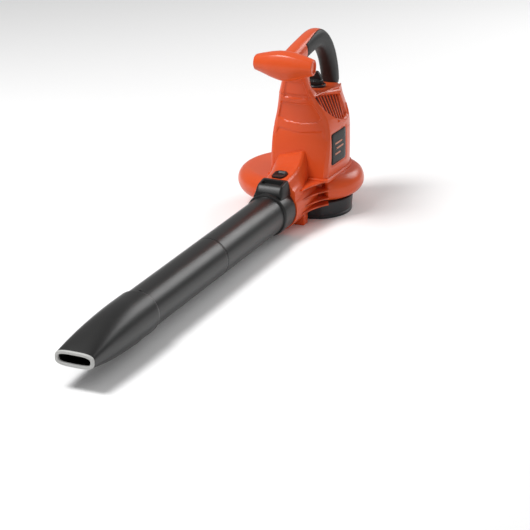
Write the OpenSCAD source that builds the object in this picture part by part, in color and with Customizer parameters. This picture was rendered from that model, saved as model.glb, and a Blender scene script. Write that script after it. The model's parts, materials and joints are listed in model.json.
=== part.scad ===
// Corded leaf blower: volute fan housing, upright motor column, D-loop main
// handle, front T-handle, and a pull-off blow tube with a flat nozzle.
// +Z is up, -Y is the way the air leaves, +X is the operator's left.
// The origin is on the fan axis, on the surface that the base stands on.

/* [Fan housing] */
// Height of the underside of the volute above the ground
scroll_z = 31; // [28:1:38]
// Height of the volute, top plate to bottom plate
scroll_h = 48; // [42:1:54]
// Radius of the wide arc of the volute
volute_r = 121; // [115:1:128]
// Radius of the tight arc of the volute, by the cut-off
tight_r = 98; // [93:1:101]
// Wall thickness of the fan housing
housing_wall = 2.5; // [2:0.25:3.5]
// Radius of the fan chamber inside the volute
chamber_r = 66; // [63:1:70]

/* [Outlet duct] */
// Bore radius of the outlet duct
duct_bore_r = 38.5; // [34:0.5:40]
// Wall thickness of the outlet duct
duct_wall = 3.5; // [3:0.5:4]
// Height of the outlet duct axis above the ground
duct_z = 47; // [46:0.5:52]
// Sideways offset of the outlet duct axis
duct_x = -4; // [-8:0.5:0]
// Distance of the duct mouth in front of the fan axis
duct_front = 165; // [155:1:190]
// Height of the fairing top at the duct mouth, above the duct axis
fairing_h = 57; // [54:0.5:62]

/* [Inlet] */
// Outer radius of the inlet ring at the ground
ring_r = 76; // [72:1:80]
// Wall thickness of the inlet ring
ring_wall = 3; // [2.5:0.25:4]
// Radius of the air inlet hole in the bottom plate
eye_r = 48; // [40:1:56]
// Thickness of the inlet cover plate
cover_t = 4; // [3:0.5:5]

/* [Motor column] */
// Height of the column above the volute
column_h = 157; // [145:1:180]
// Wall thickness of the column covers
cover_wall = 2.5; // [2:0.25:3]
// Greatest half width of the column
column_w = 59; // [56:1:64]
// Distance of the rear of the column behind the fan axis
column_rear = 94; // [90:1:104]
// Distance of the front of the column in front of the fan axis
column_front = 75; // [72:1:84]

/* [Handles] */
// Lateral width of the main handle
grip_w = 32; // [28:0.5:36]
// Radial thickness of the main handle
grip_t = 37; // [34:0.5:42]
// Thickness of the soft grip layer
soft_t = 3.2; // [2.5:0.1:4]
// Length of the front handle
bar_l = 112; // [95:1:140]
// Depth of the front handle at its middle, fore and aft
bar_d = 40; // [36:1:46]
// Height of the front handle at its middle
bar_h = 43; // [38:1:50]

/* [Blow tube] */
// Outer radius of the tube collar
collar_r = 40; // [39:0.5:43]
// Length of the tube collar
collar_l = 46; // [40:1:60]
// Outer radius of the blow tube at the collar
tube_r1 = 36.1; // [33:0.1:37]
// Outer radius of the blow tube at the nozzle
tube_r2 = 34.7; // [32:0.1:35]
// Wall thickness of the blow tube
tube_wall = 1.8; // [1.5:0.1:2.5]
// Length of the blow tube in front of the duct mouth
tube_l = 580; // [400:1:680]
// Length of the nozzle
nozzle_l = 210; // [170:1:250]
// Width of the nozzle mouth
mouth_w = 65; // [50:1:70]
// Height of the nozzle mouth
mouth_h = 25; // [20:0.5:30]
// Radial thickness of the nozzle lip
lip_t = 5.2; // [3:0.1:6]
// Length of the nozzle lip
lip_l = 4.5; // [3:0.5:8]

/* [Motor and fan] */
// Radius of the motor shaft
shaft_r = 4; // [3.5:0.25:5]
// Outer radius of the field core
field_r = 39; // [36:0.5:42]
// Length of the field core
field_l = 45; // [36:1:54]
// Radius of the armature
armature_r = 22; // [20:0.5:24]
// Outer radius of the ball bearings
bearing_r = 11; // [9:0.5:13]
// Width of the ball bearings
bearing_w = 7; // [5:0.5:9]
// Outer radius of the impeller
impeller_r = 60; // [52:1:61]
// Height of the impeller
impeller_h = 26; // [20:1:28]
// Number of impeller blades
blades = 12; // [8:1:16]

/* [Controls and cord] */
// Radius of the speed dial
dial_r = 14; // [12:0.5:16]
// Height of the speed dial with its fin
dial_h = 26; // [20:1:30]
// Bore radius of the cord gland
cord_r = 4; // [3:0.25:5]
// Length of the release button
button_l = 29; // [20:1:32]
// Width of the release button
button_w = 25; // [18:1:27]

/* [Fits] */
// Radial clearance of running and sliding fits
run_fit = 0.1; // [0.05:0.01:0.1]
// Gap between parts that lie face to face without touching
skin_gap = 0.3; // [0.2:0.05:0.5]
// Radius of the threads of the casing screws
screw_r = 2; // [1.75:0.25:2.5]

/* [Hidden] */
$fn = 64;
eps = 0.01;
big = 2000;
scroll_top = scroll_z + scroll_h;
scroll_mid = scroll_z + scroll_h / 2;
edge_r = scroll_h / 2;
// The tight arc lies just inside the wide one, along the split direction
volute_split = 43;
volute_nose = -50;
arc_step = 1;
throat_cut = -10;
throat_x0 = -40;
throat_w = 72;
function unit(a) = [cos(a), sin(a)];
wide_c = [-22, 0];
tight_c = wide_c + (volute_r - tight_r - arc_step) * unit(volute_split);
duct_r = duct_bore_r + duct_wall;
duct_back = ring_r + 3;
column_top = scroll_top + column_h;

// Shaft line, from the fan up to the upper bearing
cover_bolt_r = 66;
ring_bolts = [60, 120, 200, 340];
lug_r = 5;
rib_t = 2.4;
hub_hole_r = 16;
foot_front = 108;
foot_l = 20;
cover_z = 1.5;
hinge_y = ring_r - 9;
hinge_z = 4.2;
pin_r = 1.5;
latch_h = 9;
// Latch of the inlet cover, its thumb tab and its travel
latch_w = 12;
latch_l = 13;
latch_t = 3;
latch_travel = 4;
latch_y = -ring_r + ring_wall + 2.4;
latch_z = cover_z + cover_t - 1;
tab_w = 8;
tab_l = 3;
tab_y = 9;
cover_bolts = [[-57, scroll_top + 18, column_w - 3.5],
    [column_rear - 21, scroll_top + 18, column_w - 22],
    [-52, scroll_top + 90, column_w - 2.5], [column_rear - 27, scroll_top + 90,
    column_w - 19], [58, column_top - 26, column_w - 22.5]];
vent_gap = 5.5;
coil_w = 34;
cool_r = 34;
nut_h = 6;
stem_l = 14;
switch_gap = 1;
gland_neck = cover_wall + 1.4;
spigot_l = 20;
sleeve_l = 50;
sleeve_skew = 8;
sleeve_cut = 11;
// Overlap of the nozzle body and its sleeve, which stops the tube
noz_stop = 1.6;
sleeve_r = tube_r2 + 2.8;
core_in = 5.6;
fan_z = scroll_z + 7;
plate_z = scroll_top;
low_brg_z = plate_z + 5;
cool_z = low_brg_z + bearing_w + 7;
coil_h = 9;
field_z = cool_z + 16 + coil_h;
comm_z = field_z + field_l + coil_h + 2;
comm_l = 15;
comm_r = 11;
brush_z = comm_z + comm_l / 2;
brush_w = 7;
brush_l = 15;
up_brg_z = comm_z + comm_l + 4;
shaft_top = up_brg_z + bearing_w + 1.5;
shaft_bottom = scroll_z - 6;
bracket_t = 4;
bracket_r = 46;
bracket_bolt_r = bracket_r - 5;
// Button and its well, in a frame tilted with the fairing top
btn_tilt = 8;
btn_y = -duct_front + 18;
btn_z = duct_z + fairing_h + 3;
btn_plate = 5;
btn_travel = 3;
btn_well = 12;
btn_boss_r = 3.5;
// Latch tongue of the collar, in its slot above the duct
tongue_w = 16;
tongue_l = 22;
tongue_z = duct_z + duct_r + 1;
tongue_t = 2.5;
// Column stations: height share, then front, front half width, half width
// and rear, each as an offset from its driving size, panel flag, rear shape
col_st = [
    [0.00, -1, -3, 1, 0, 0, 0.85], [0.06, 0, -2, 1, 0, 0, 0.85],
    [0.10, 0.8, -1.5, 1, 0, 0, 0.85], [0.107, 1, -1.5, 1, 0, 1, 0.85],
    [0.25, 3.5, -1, 1, 0, 1, 0.85], [0.42, 7.5, -1, 0.5, 0, 1, 0.85],
    [0.52, 10, -2, 0, 0, 1, 0.85], [0.58, 11, -3.2, -0.5, -0.5, 1, 0.88],
    [0.588, 11.1, -3.4, -0.6, -0.5, 0, 0.88], [0.66, 11.5, -5.5, -1.5, -1.5, 0, 0.93],
    [0.70, 11, -7.5, -2.8, -2.5, 0, 1], [0.707, 11, -7.7, -3, -2.6, 1, 1],
    [0.80, 8, -11.5, -6.5, -5, 1, 1.1], [0.90, 4, -15, -10.5, -6, 1, 1.2],
    [0.92, 3.3, -15.8, -11.3, -6, 1, 1.22], [0.927, 3, -16, -11.5, -6, 0, 1.22],
    [1.00, -1.5, -19, -14, -1, 0, 1.3]];
// The top steps down behind the dial, to the foot of the rear leg
top_drop = 11;
function drop(y, h) = top_drop * max(0, min(1, (y - 44) / 14)) * max(0, (h - 0.8) / 0.2);
col_cy = 10;
panel_depth = 1.2;
post_top = 290;
post_rear = -46;
post_st = [[0.00, -1.5, -19, 0], [0.08, -2.2, -20, 0], [0.10, -2.5, -20.3, 1],
    [0.45, -6, -26, 1], [0.48, -6.4, -26.5, 0], [1.00, -14, -33, 0]];
// Half profile of the column, front seam to rear seam
function col_half(yf, wf, wm, yr, cy, d, n) = concat(
    [[0, yf + d], [wf * 0.4, yf + 0.5 + d], [wf * 0.78, yf + 1.4 + d],
     [wf * 0.86, yf + 2], [wf, yf + 8]],
    [for (t = [0.33, 0.67, 1]) [wf + (wm - wf) * sin(90 * t),
        yf + 8 + (cy - yf - 8) * t]],
    [for (a = [15:15:90]) [wm * pow(cos(a), n), cy + (yr - cy) * pow(sin(a), n)]]);
function col_ring(st, i) = let (q = st)
    col_half(-column_front + q[1] + i, column_w + q[2] - i, column_w + q[3] - i,
        column_rear + q[4] - i, col_cy, q[5] * panel_depth, q[6]);
function lift(p, z, h = 0) = [for (q = p) [q[0], q[1], z - drop(q[1], h)]];
function flip(p) = [for (i = [len(p) - 1:-1:0]) p[i]];
function col_front(z) = -column_front
    + lookup((z - scroll_top) / column_h, [for (q = col_st) [q[0], q[1]]]);
// Side window for the vents
vent_z0 = scroll_top + 0.64 * column_h;
vent_z1 = scroll_top + 0.90 * column_h;
vent_y0 = -44;
vent_y1 = 30;
vent_in = column_w - 22;
vent_frame = 3;
vent_fins = 8;
// Badge recess in the side of the column
badge_z0 = scroll_top + 22;
badge_z1 = badge_z0 + 61;
badge_y0 = -49;
badge_y1 = 18;
badge_x = column_w - 1;
badge_t = 1.4;
// Dial on the top of the column
dial_y = 12;
dial_z = column_top + 1;
dial_stem_r = 4;
switch_w = 26;
switch_h = 18;
cord_z = scroll_top + 84;
gland_r = 8;
gland_l = 22;
gland_rear = column_rear + 3.05;
// Handle centreline as [y, z] and the share of the section left for the core
path = [[-117, 309], [-98, 313], [-76, 317.5], [-66.5, 319], [-66, 319.1],
    [-45, 322.5], [-22, 326], [0, 327], [20, 322.5], [38, 312], [53, 298],
    [66, 280], [75, 261], [81, 244], [83, column_top - top_drop]];
path_soft = 4;
spine = [110, 108, 104, 98, 98, 88, 74, 58, 38, 20, 8, 8, 8, 8, 8];
function path_dir(i) = let (a = path[max(i - 1, 0)],
    b = path[min(i + 1, len(path) - 1)], d = b - a) d / norm(d);
// Outward normal of the handle: up over the arch, rearward down the leg
function path_n(i) = i == 0 ? [0, 1] : i == len(path) - 1 ? [1, 0]
    : [-path_dir(i)[1], path_dir(i)[0]];
function sgn_pow(v, n) = sign(v) * pow(abs(v), n);
section_n = 0.78;
// Point of the handle section at angle a from the outward normal
function hand_pt(i, a, w, t) = let (n = path_n(i), h = t * sgn_pow(cos(a), section_n))
    [w * sgn_pow(sin(a), section_n), path[i][0] + n[0] * h,
     max(path[i][1] + n[1] * h, path[i][0] < post_rear ? post_top : 0)];
function vent_out(z) = column_w - 5 - (z - vent_z0) * 0.27;
function post_ring(q, i) = let (f = -column_front + q[1] + i, w = column_w + q[2] - i)
    col_half(f, w, w + 0.5, post_rear - i, (f + post_rear) / 2 + 5,
        q[3] * panel_depth, 0.55);
bar_y = -117 - bar_d / 2;
bar_z = 308;

lugs = [for (a = [70, 100, 130]) wide_c + (volute_r + 1.5) * unit(a)];

orange = [0.93, 0.33, 0.16];
black = [0.13, 0.13, 0.14];
steel = [0.7, 0.71, 0.73];
copper = [0.72, 0.4, 0.2];
grey = [0.75, 0.75, 0.74];

// ------------------------------------------------------------- lofted shells
function quads(a, b, m) = [for (j = [0:m - 1]) let (k = (j + 1) % m)
    each [[a + j, a + k, b + k], [a + j, b + k, b + j]]];
function flips(f) = [for (q = f) flip(q)];
// Closed solid from sections that run along the outer skin and back along the
// inner skin, with the same number of points on both
module strip_loft(r, turn = false) {
    n = len(r);
    m = len(r[0]);
    cap = [for (j = [0:m / 2 - 2]) let (p = m - 1 - j)
        each [[j, p, p - 1], [j, p - 1, j + 1]]];
    far = [for (f = flips(cap)) [for (v = f) v + (n - 1) * m]];
    all = concat([for (i = [0:n - 2]) each quads(i * m, (i + 1) * m, m)], cap, far);
    polyhedron([for (q = r) each q], turn ? flips(all) : all);
}
// Tube from closed outer and inner sections of the same number of points
module tube_loft(outer, inner, turn = false) {
    n = len(outer);
    m = len(outer[0]);
    io = n * m;
    skin = [for (i = [0:n - 2]) each quads(i * m, (i + 1) * m, m)];
    core = [for (f = flips(skin)) [for (v = f) v + io]];
    near = quads(io, 0, m);
    far = quads((n - 1) * m, io + (n - 1) * m, m);
    all = concat(skin, core, near, far);
    polyhedron(concat([for (q = outer) each q], [for (q = inner) each q]),
        turn ? flips(all) : all);
}
// ---------------------------------------------------------------- volute
// Disc with a round edge, set off the fan axis; w insets every face
module edge_disc(c, r, w) {
    translate([c[0], c[1], 0]) rotate_extrude() union() {
        translate([0, scroll_z + w]) square([r - edge_r, scroll_h - 2 * w]);
        translate([r - edge_r, scroll_mid]) circle(edge_r - w);
    }
}
module sector(a0, a1) {
    linear_extrude(big) polygon([[0, 0], big * unit(a0),
        2 * big * unit((a0 + a1) / 2), big * unit(a1)]);
}
// Volute body as a solid; the inset copy of it is the air space
module volute_body(w) {
    difference() {
        edge_disc(wide_c, volute_r, w);
        translate([0, 0, -1]) sector(-89, volute_split);
        translate([throat_cut, -big, -1]) cube([big, big - 5, big]);
    }
    intersection() {
        edge_disc(tight_c, tight_r, w);
        translate([0, 0, -1])
            sector(volute_nose + (w > 0 ? 2.2 : 0), volute_split + 4);
    }
    translate([0, 0, scroll_z + w])
        cylinder(r = chamber_r + housing_wall - w, h = scroll_h - 2 * w);
    translate([throat_x0 + w, -duct_back - 6 + 2 * w, scroll_z + w])
        cube([throat_w - 2 * w, duct_back, scroll_h - 2 * w]);
}
module ribs() {
    for (z = [scroll_z, scroll_z + 11, scroll_z + 26, scroll_top - rib_t])
        translate([0, 0, z]) linear_extrude(rib_t)
            polygon([[10, -duct_front + 27], [duct_x + 37, -duct_front + 33],
                     75 * unit(volute_nose), [30, -30], [10, -60]]);
}
module fairing() {
    intersection() {
        translate([duct_x - 50, 0, 0]) rotate([90, 0, 90]) linear_extrude(100)
            polygon([[-duct_front, duct_z], [-duct_front, duct_z + fairing_h],
                [-duct_front + 37, duct_z + fairing_h + 5.5],
                [-90, duct_z + fairing_h + 14],
                [col_front(scroll_top + 50) - skin_gap, scroll_top + 50],
                [col_front(scroll_top + 15) - skin_gap, scroll_top + 15],
                [col_front(scroll_top) - skin_gap, scroll_top],
                [col_front(scroll_top) - skin_gap, duct_z]]);
        translate([duct_x, 0, 0]) rotate([90, 0, 0])
            linear_extrude(big, center = true)
                polygon([[-38, duct_z], [-38, duct_z + 28], [-14, scroll_top + 52],
                         [14, scroll_top + 52], [38, duct_z + 28], [38, duct_z]]);
    }
}
module at_button() {
    translate([duct_x, btn_y, btn_z]) rotate([btn_tilt, 0, 0]) children();
}
module duct_tube(r) {
    translate([duct_x, -duct_front, duct_z]) rotate([-90, 0, 0])
        cylinder(r = r, h = duct_front - duct_back);
}
module volute_solid() {
    volute_body(0);
    duct_tube(duct_r);
}
module volute_space() {
    volute_body(housing_wall);
    translate([duct_x, -duct_front - 1, duct_z]) rotate([-90, 0, 0])
        cylinder(r = duct_bore_r, h = duct_front + 1 - duct_back - housing_wall);
}
module housing_lugs(r) {
    for (q = lugs) translate([q[0], q[1], scroll_mid - 9]) cylinder(r = r, h = 18);
}
module fan_housing_top() {
    color(orange) difference() {
        union() {
            volute_solid();
            ribs();
            fairing();
            housing_lugs(lug_r);
        }
        volute_space();
        translate([-big / 2, -big / 2, scroll_mid - big]) cube(big);
        translate([0, 0, scroll_top - 10]) cylinder(r = hub_hole_r, h = 20);
        at_button() translate([-button_w / 2 - skin_gap, -button_l / 2 - skin_gap,
            -btn_well]) cube([button_w + 2 * skin_gap, button_l + 2 * skin_gap, 40]);
        translate([duct_x - 10, -duct_front + 43, duct_z + duct_r + 1])
            cube([20, duct_front - 43 - 70, 18]);
        translate([duct_x - tongue_w / 2 - skin_gap, -duct_front - 1,
            tongue_z - skin_gap]) cube([tongue_w + 2 * skin_gap,
                tongue_l + skin_gap + 1, tongue_t + 2 * skin_gap]);
        for (q = lugs) translate([q[0], q[1], 0])
            cylinder(r = screw_r + 0.05, h = scroll_mid + 7);
        for (a = [0:90:270]) rotate([0, 0, a]) translate([bracket_bolt_r, 0, 0])
            cylinder(r = screw_r + 0.05, h = big);
    }
}
module fan_housing_bottom() {
    color(orange) difference() {
        union() {
            volute_solid();
            ribs();
            translate([duct_x - 33, -foot_front, 0])
                cube([66, foot_l, duct_z - 10]);
            housing_lugs(lug_r);
        }
        volute_space();
        translate([-big / 2, -big / 2, scroll_mid]) cube(big);
        translate([0, 0, scroll_z - 1]) cylinder(r = eye_r, h = 10);
        for (q = lugs) translate([q[0], q[1], 0])
            cylinder(r = screw_r + 0.05, h = big);
        for (a = ring_bolts) rotate([0, 0, a]) translate([cover_bolt_r, 0, 0])
            cylinder(r = screw_r + 0.05, h = big);
    }
}

// ------------------------------------------------------------- inlet
module inlet_ring() {
    color(black) difference() {
        union() {
            rotate_extrude() polygon([[ring_r - ring_wall - 1, 0], [ring_r, 0],
                [ring_r, 5], [ring_r - 1.5, 6], [ring_r + 1.5, scroll_z],
                [ring_r - 16, scroll_z], [ring_r - 16, scroll_z - 3],
                [ring_r - ring_wall, scroll_z - 3], [ring_r - ring_wall, 9],
                [ring_r - ring_wall - 1, 8]]);
            translate([-10, ring_r - 14, 1]) cube([5, 13, 9]);
            translate([5, ring_r - 14, 1]) cube([5, 13, 9]);
        }
        translate([-11, hinge_y, hinge_z]) rotate([0, 90, 0])
            cylinder(r = pin_r + 0.02, h = 22);
        translate([-10, -ring_r - 1, -1]) cube([20, ring_wall + 3, latch_h + 3]);
        for (a = ring_bolts) rotate([0, 0, a]) translate([cover_bolt_r, 0, 0])
            cylinder(r = screw_r + 0.1, h = big);
    }
}
module inlet_cover() {
    r = ring_r - ring_wall - 1 - 1.5;
    color(black) difference() {
        union() {
            difference() {
                translate([0, 0, cover_z]) cylinder(r = r, h = cover_t);
                for (k = [-5:5]) translate([k * 10 - 3, 0, 0]) {
                    h = sqrt(pow(r - 9, 2) - pow(abs(k) * 10 + 3, 2));
                    translate([0, -h, cover_z - 1]) cube([6, h - 13, cover_t + 2]);
                    translate([0, 13, cover_z - 1]) cube([6, h - 18, cover_t + 2]);
                }
                translate([-40, hinge_y - 7, 0]) cube([80, 20, 20]);
            }
            cylinder(r = 16, h = cover_z + cover_t);
            translate([-4.7, ring_r - 24, cover_z]) cube([9.4, 15, cover_t]);
            translate([-4.7, hinge_y, hinge_z]) rotate([0, 90, 0])
                cylinder(r = 3.2, h = 9.4);
            translate([-11, -r + 3, cover_z]) cube([22, 18, cover_t + 4]);
        }
        translate([-11, hinge_y, hinge_z]) rotate([0, 90, 0])
            cylinder(r = pin_r + run_fit, h = 22);
        translate([-latch_w / 2 - run_fit, -ring_r, latch_z])
            cube([latch_w + 2 * run_fit,
                latch_y + ring_r + latch_l + latch_travel + skin_gap,
                latch_t + run_fit]);
        translate([-tab_w / 2 - skin_gap, latch_y + tab_y - skin_gap, latch_z])
            cube([tab_w + 2 * skin_gap, tab_l + latch_travel + 2 * skin_gap, 20]);
    }
}
module inlet_hinge_pin() {
    color(steel) translate([-10, hinge_y, hinge_z]) rotate([0, 90, 0])
        cylinder(r = pin_r, h = 20);
}
module inlet_latch() {
    color(orange) translate([0, latch_y, latch_z]) {
        translate([-latch_w / 2, 0, 0]) cube([latch_w, latch_l, latch_t]);
        translate([-tab_w / 2, tab_y, 0]) cube([tab_w, tab_l, 6.5]);
    }
}

// ------------------------------------------------------------- column covers
module cover_half() {
    shell = [for (k = [0:len(col_st) - 1]) let (q = col_st[k],
        z = scroll_top + q[0] * column_h, top = k == len(col_st) - 1)
        concat(lift(col_ring(q, 0), z, q[0]),
            flip(lift(col_ring(q, cover_wall), top ? z - cover_wall : z, q[0])))];
    last = shell[len(shell) - 1];
    seal = [for (q = last) [0, q[1], q[2]]];
    difference() {
        union() {
            strip_loft(concat(shell, [seal]), true);
            strip_loft([for (q = post_st) let (z = column_top + q[0] * (post_top
                - column_top)) concat(lift(post_ring(q, 0), z),
                flip(lift(post_ring(q, cover_wall), z)))], true);
            rotate([90, 0, 0]) translate([0, 0, -vent_y1 - vent_frame])
                linear_extrude(vent_y1 - vent_y0 + 2 * vent_frame) polygon([
                    [vent_in, vent_z0 - vent_frame],
                    [vent_out(vent_z0 - vent_frame), vent_z0 - vent_frame],
                    [vent_out(vent_z1 + vent_frame), vent_z1 + vent_frame],
                    [vent_in, vent_z1 + vent_frame]]);
            for (q = cover_bolts) translate([0, q[0], q[1]]) rotate([0, 90, 0])
                cylinder(r = 5.5, h = q[2]);
        }
        translate([vent_in - 1, vent_y0, vent_z0])
            cube([50, vent_y1 - vent_y0, vent_z1 - vent_z0]);
        translate([badge_x, badge_y0, badge_z0])
            cube([20, badge_y1 - badge_y0, badge_z1 - badge_z0]);
        translate([0, dial_y, column_top - 10])
            cylinder(r = dial_stem_r + 0.5, h = 20);
        translate([0, column_rear + 5, cord_z]) rotate([90, 0, 0])
            cylinder(r = gland_r - 2, h = 20);
    }
}
module motor_cover_left() {
    color(orange) difference() {
        cover_half();
        for (q = cover_bolts) translate([-1, q[0], q[1]]) rotate([0, 90, 0])
            cylinder(r = screw_r + 0.05, h = 17);
    }
}
module motor_cover_right() {
    color(orange) difference() {
        mirror([1, 0, 0]) cover_half();
        for (q = cover_bolts) translate([1, q[0], q[1]]) rotate([0, -90, 0]) {
            cylinder(r = screw_r + 0.1, h = 20);
            translate([0, 0, 13]) cylinder(r = 4.2, h = 80);
        }
    }
}
module vent_grille() {
    difference() {
        rotate([90, 0, 0]) translate([0, 0, -vent_y1])
            linear_extrude(vent_y1 - vent_y0) polygon([
                [vent_in, vent_z0], [vent_out(vent_z0) - 5, vent_z0],
                [vent_out(vent_z1) - 5, vent_z1], [vent_in, vent_z1]]);
        pitch = (vent_y1 - vent_y0) / vent_fins;
        for (k = [0:vent_fins - 1])
            translate([vent_in - 1, vent_y0 + pitch * (k + 0.5) - vent_gap / 2,
                vent_z0 + 3]) cube([40, vent_gap, vent_z1 - vent_z0 - 6]);
    }
}
module vent_grille_left() { color(orange) vent_grille(); }
module vent_grille_right() { color(orange) mirror([1, 0, 0]) vent_grille(); }
module badge() {
    translate([badge_x, badge_y0, badge_z0])
        cube([badge_t, badge_y1 - badge_y0, badge_z1 - badge_z0]);
}
module badge_left() { color(black) badge(); }
module badge_right() { color(black) mirror([1, 0, 0]) badge(); }

// ------------------------------------------------------------- handles
function hand_ring(i) = let (w = grip_w / 2, t = grip_t / 2,
    c = i < path_soft ? 0.25 : soft_t, as = spine[i] / 2,
    o = concat([for (a = [0, as]) hand_pt(i, a, w, t)],
        [for (k = [0:8]) hand_pt(i, as + (180 - as) * k / 8, w - c, t - c)]))
    concat(o, flip(concat([for (a = [0, as]) hand_pt(i, a, w - core_in, t - core_in)],
        [for (k = [0:8]) hand_pt(i, as + 1 + (179 - as) * k / 8,
            w - core_in, t - core_in)])));
module handle_half() {
    strip_loft([for (i = [0:len(path) - 1]) hand_ring(i)], true);
}
module handle_left() { color(orange) handle_half(); }
module handle_right() { color(orange) mirror([1, 0, 0]) handle_half(); }
function soft_ring(i) = let (w = grip_w / 2, t = grip_t / 2,
    as = spine[i] / 2 + 1.5, c = soft_t - 0.15,
    o = [for (k = [0:20]) hand_pt(i, as + (360 - 2 * as) * k / 20, w, t)],
    n = [for (k = [0:20]) hand_pt(i, as + (360 - 2 * as) * k / 20, w - c, t - c)])
    concat(o, flip(n));
module handle_grip() {
    color(black) strip_loft([for (i = [path_soft:len(path) - 1]) soft_ring(i)], true);
}
bar_st = [[-1, 12, 13, 13], [-0.94, 14, 15, 16], [-0.75, 16, 19, 19],
    [-0.45, 19, 22.5, 25], [-0.2, 20, 25, 29], [0, 20, 26, 31]];
function bar_sec(q, i) = [for (k = [0:23]) let (a = 15 * k, c = cos(a), d = sin(a))
    [q[0] * bar_l / 2, bar_y + min((q[1] / 20 * bar_d / 2 - i) * sgn_pow(c, 0.85),
        -117 - bar_y - (i > 0 ? i : 0)),
     bar_z + ((d > 0 ? q[2] : q[3]) - i) * sgn_pow(d, d > 0 ? 0.85 : 1)]];
bar_all = concat(bar_st, [for (k = [len(bar_st) - 2:-1:0]) let (q = bar_st[k])
    [-q[0], q[1], q[2], q[3]]]);
module front_handle() {
    color(orange) tube_loft([for (q = bar_all) bar_sec(q, 0)],
        [for (q = bar_all) bar_sec(q, cover_wall)], false);
}
module front_handle_caps() {
    color(orange) for (s = [-1, 1]) translate([s * (bar_l / 2 - 3), bar_y, bar_z])
        rotate([0, s * 90, 0]) cylinder(r = 10, h = 2, center = true);
}

// ------------------------------------------------------------- motor
module ring_z(ro, ri, z, h) {
    translate([0, 0, z]) difference() {
        cylinder(r = ro, h = h);
        translate([0, 0, -1]) cylinder(r = ri, h = h + 2);
    }
}
module lower_bracket() {
    color(steel) difference() {
        union() {
            ring_z(bracket_r, hub_hole_r + 4, plate_z, bracket_t);
            ring_z(bearing_r + 6, bearing_r, plate_z, low_brg_z + bearing_w - plate_z);
            ring_z(hub_hole_r + 5, bearing_r, plate_z, bracket_t);
            ring_z(bearing_r + 2, shaft_r + 2, plate_z, low_brg_z - plate_z);
            for (a = [45:90:315]) rotate([0, 0, a])
                translate([field_r - 1, -5, plate_z])
                    cube([5, 10, field_z + 8 - plate_z]);
        }
        translate([0, 0, field_z - eps]) cylinder(r = field_r, h = 20);
        for (a = [0:90:270]) rotate([0, 0, a]) translate([bracket_bolt_r, 0, 0])
            cylinder(r = screw_r + 0.05, h = big);
    }
}
module upper_bracket() {
    top = up_brg_z + bearing_w;
    color(steel) difference() {
        union() {
            for (a = [45:90:315]) rotate([0, 0, a])
                translate([field_r - 1, -5, field_z + field_l - 8])
                    cube([5, 10, top - field_z - field_l + 8]);
            for (a = [45, 135]) rotate([0, 0, a])
                translate([-field_r - 4, -5, top - 4]) cube([2 * field_r + 8, 10, 4]);
            ring_z(bearing_r + 3, bearing_r - 1, up_brg_z, bearing_w);
        }
        translate([0, 0, field_z + field_l - 20]) cylinder(r = field_r, h = 20 + eps);
        translate([0, 0, up_brg_z - 10]) cylinder(r = bearing_r, h = bearing_w + 10);
        translate([0, 0, up_brg_z]) cylinder(r = shaft_r + 3, h = 20);
    }
}
module bearing(z) {
    color(steel) {
        ring_z(bearing_r, bearing_r - 2.2, z, bearing_w);
        ring_z(shaft_r + 2.2, shaft_r + run_fit, z, bearing_w);
        ring_z(bearing_r - 2.2, shaft_r + 2.2, z + 1, bearing_w - 2);
    }
}
module lower_bearing() { bearing(low_brg_z); }
module upper_bearing() { bearing(up_brg_z); }
module motor_shaft() {
    color(steel) translate([0, 0, shaft_bottom])
        cylinder(r = shaft_r, h = shaft_top - shaft_bottom);
}
module armature_core() {
    color(steel) difference() {
        translate([0, 0, field_z]) cylinder(r = armature_r, h = field_l);
        translate([0, 0, field_z - 1]) cylinder(r = shaft_r, h = field_l + 2);
        for (a = [0:30:330]) rotate([0, 0, a])
            translate([armature_r - 6, -1, field_z - 1]) cube([10, 2, field_l + 2]);
    }
}
module commutator() {
    color(copper) difference() {
        ring_z(comm_r, shaft_r, comm_z, comm_l);
        for (a = [0:15:345]) rotate([0, 0, a])
            translate([comm_r - 0.8, -0.25, comm_z + 1]) cube([2, 0.5, comm_l]);
    }
}
module field_core() {
    color(steel) difference() {
        ring_z(field_r, armature_r + 0.8, field_z, field_l);
        for (s = [-1, 1]) translate([-coil_w / 2, s * (armature_r + 7) - 4, field_z - 1])
            cube([coil_w, 8, field_l + 2]);
    }
}
module field_windings() {
    color(copper) for (s = [-1, 1]) difference() {
        translate([-coil_w / 2 + 0.3, s * (armature_r + 7) - 3.7, field_z - coil_h])
            cube([coil_w - 0.6, 7.4, field_l + 2 * coil_h]);
        for (z = [field_z - coil_h - 1, field_z + field_l])
            translate([-coil_w, s * (armature_r + 12) - 4, z])
                cube([2 * coil_w, 8, coil_h + 1]);
    }
}
module blade_fan(r, z, h, n, t) {
    ring_z(shaft_r + 5, shaft_r, z, h);
    ring_z(r, shaft_r + 4, z + h - t, t);
    for (k = [0:n - 1]) rotate([0, 0, k * 360 / n]) translate([shaft_r + 4, -t / 2, z])
        cube([r - shaft_r - 5, t, h - 0.5]);
}
module cooling_fan() { color(black) blade_fan(cool_r, cool_z, 12, 9, 1.8); }
module impeller() { color(black) blade_fan(impeller_r, fan_z, impeller_h, blades, 2); }
module impeller_nut() {
    color(steel) difference() {
        translate([0, 0, fan_z - nut_h]) cylinder(r = 8, h = nut_h, $fn = 6);
        translate([0, 0, fan_z - nut_h - 1]) cylinder(r = shaft_r, h = nut_h + 2);
    }
}
module at_brush(x) {
    for (s = [-1, 1]) translate([0, s * (comm_r + x), brush_z]) rotate([s * -90, 0, 0])
        children();
}
module carbon_brushes() {
    color([0.2, 0.2, 0.2]) at_brush(run_fit)
        translate([-brush_w / 2, -brush_w / 2, 0]) cube([brush_w, brush_w, brush_l]);
}
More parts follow.
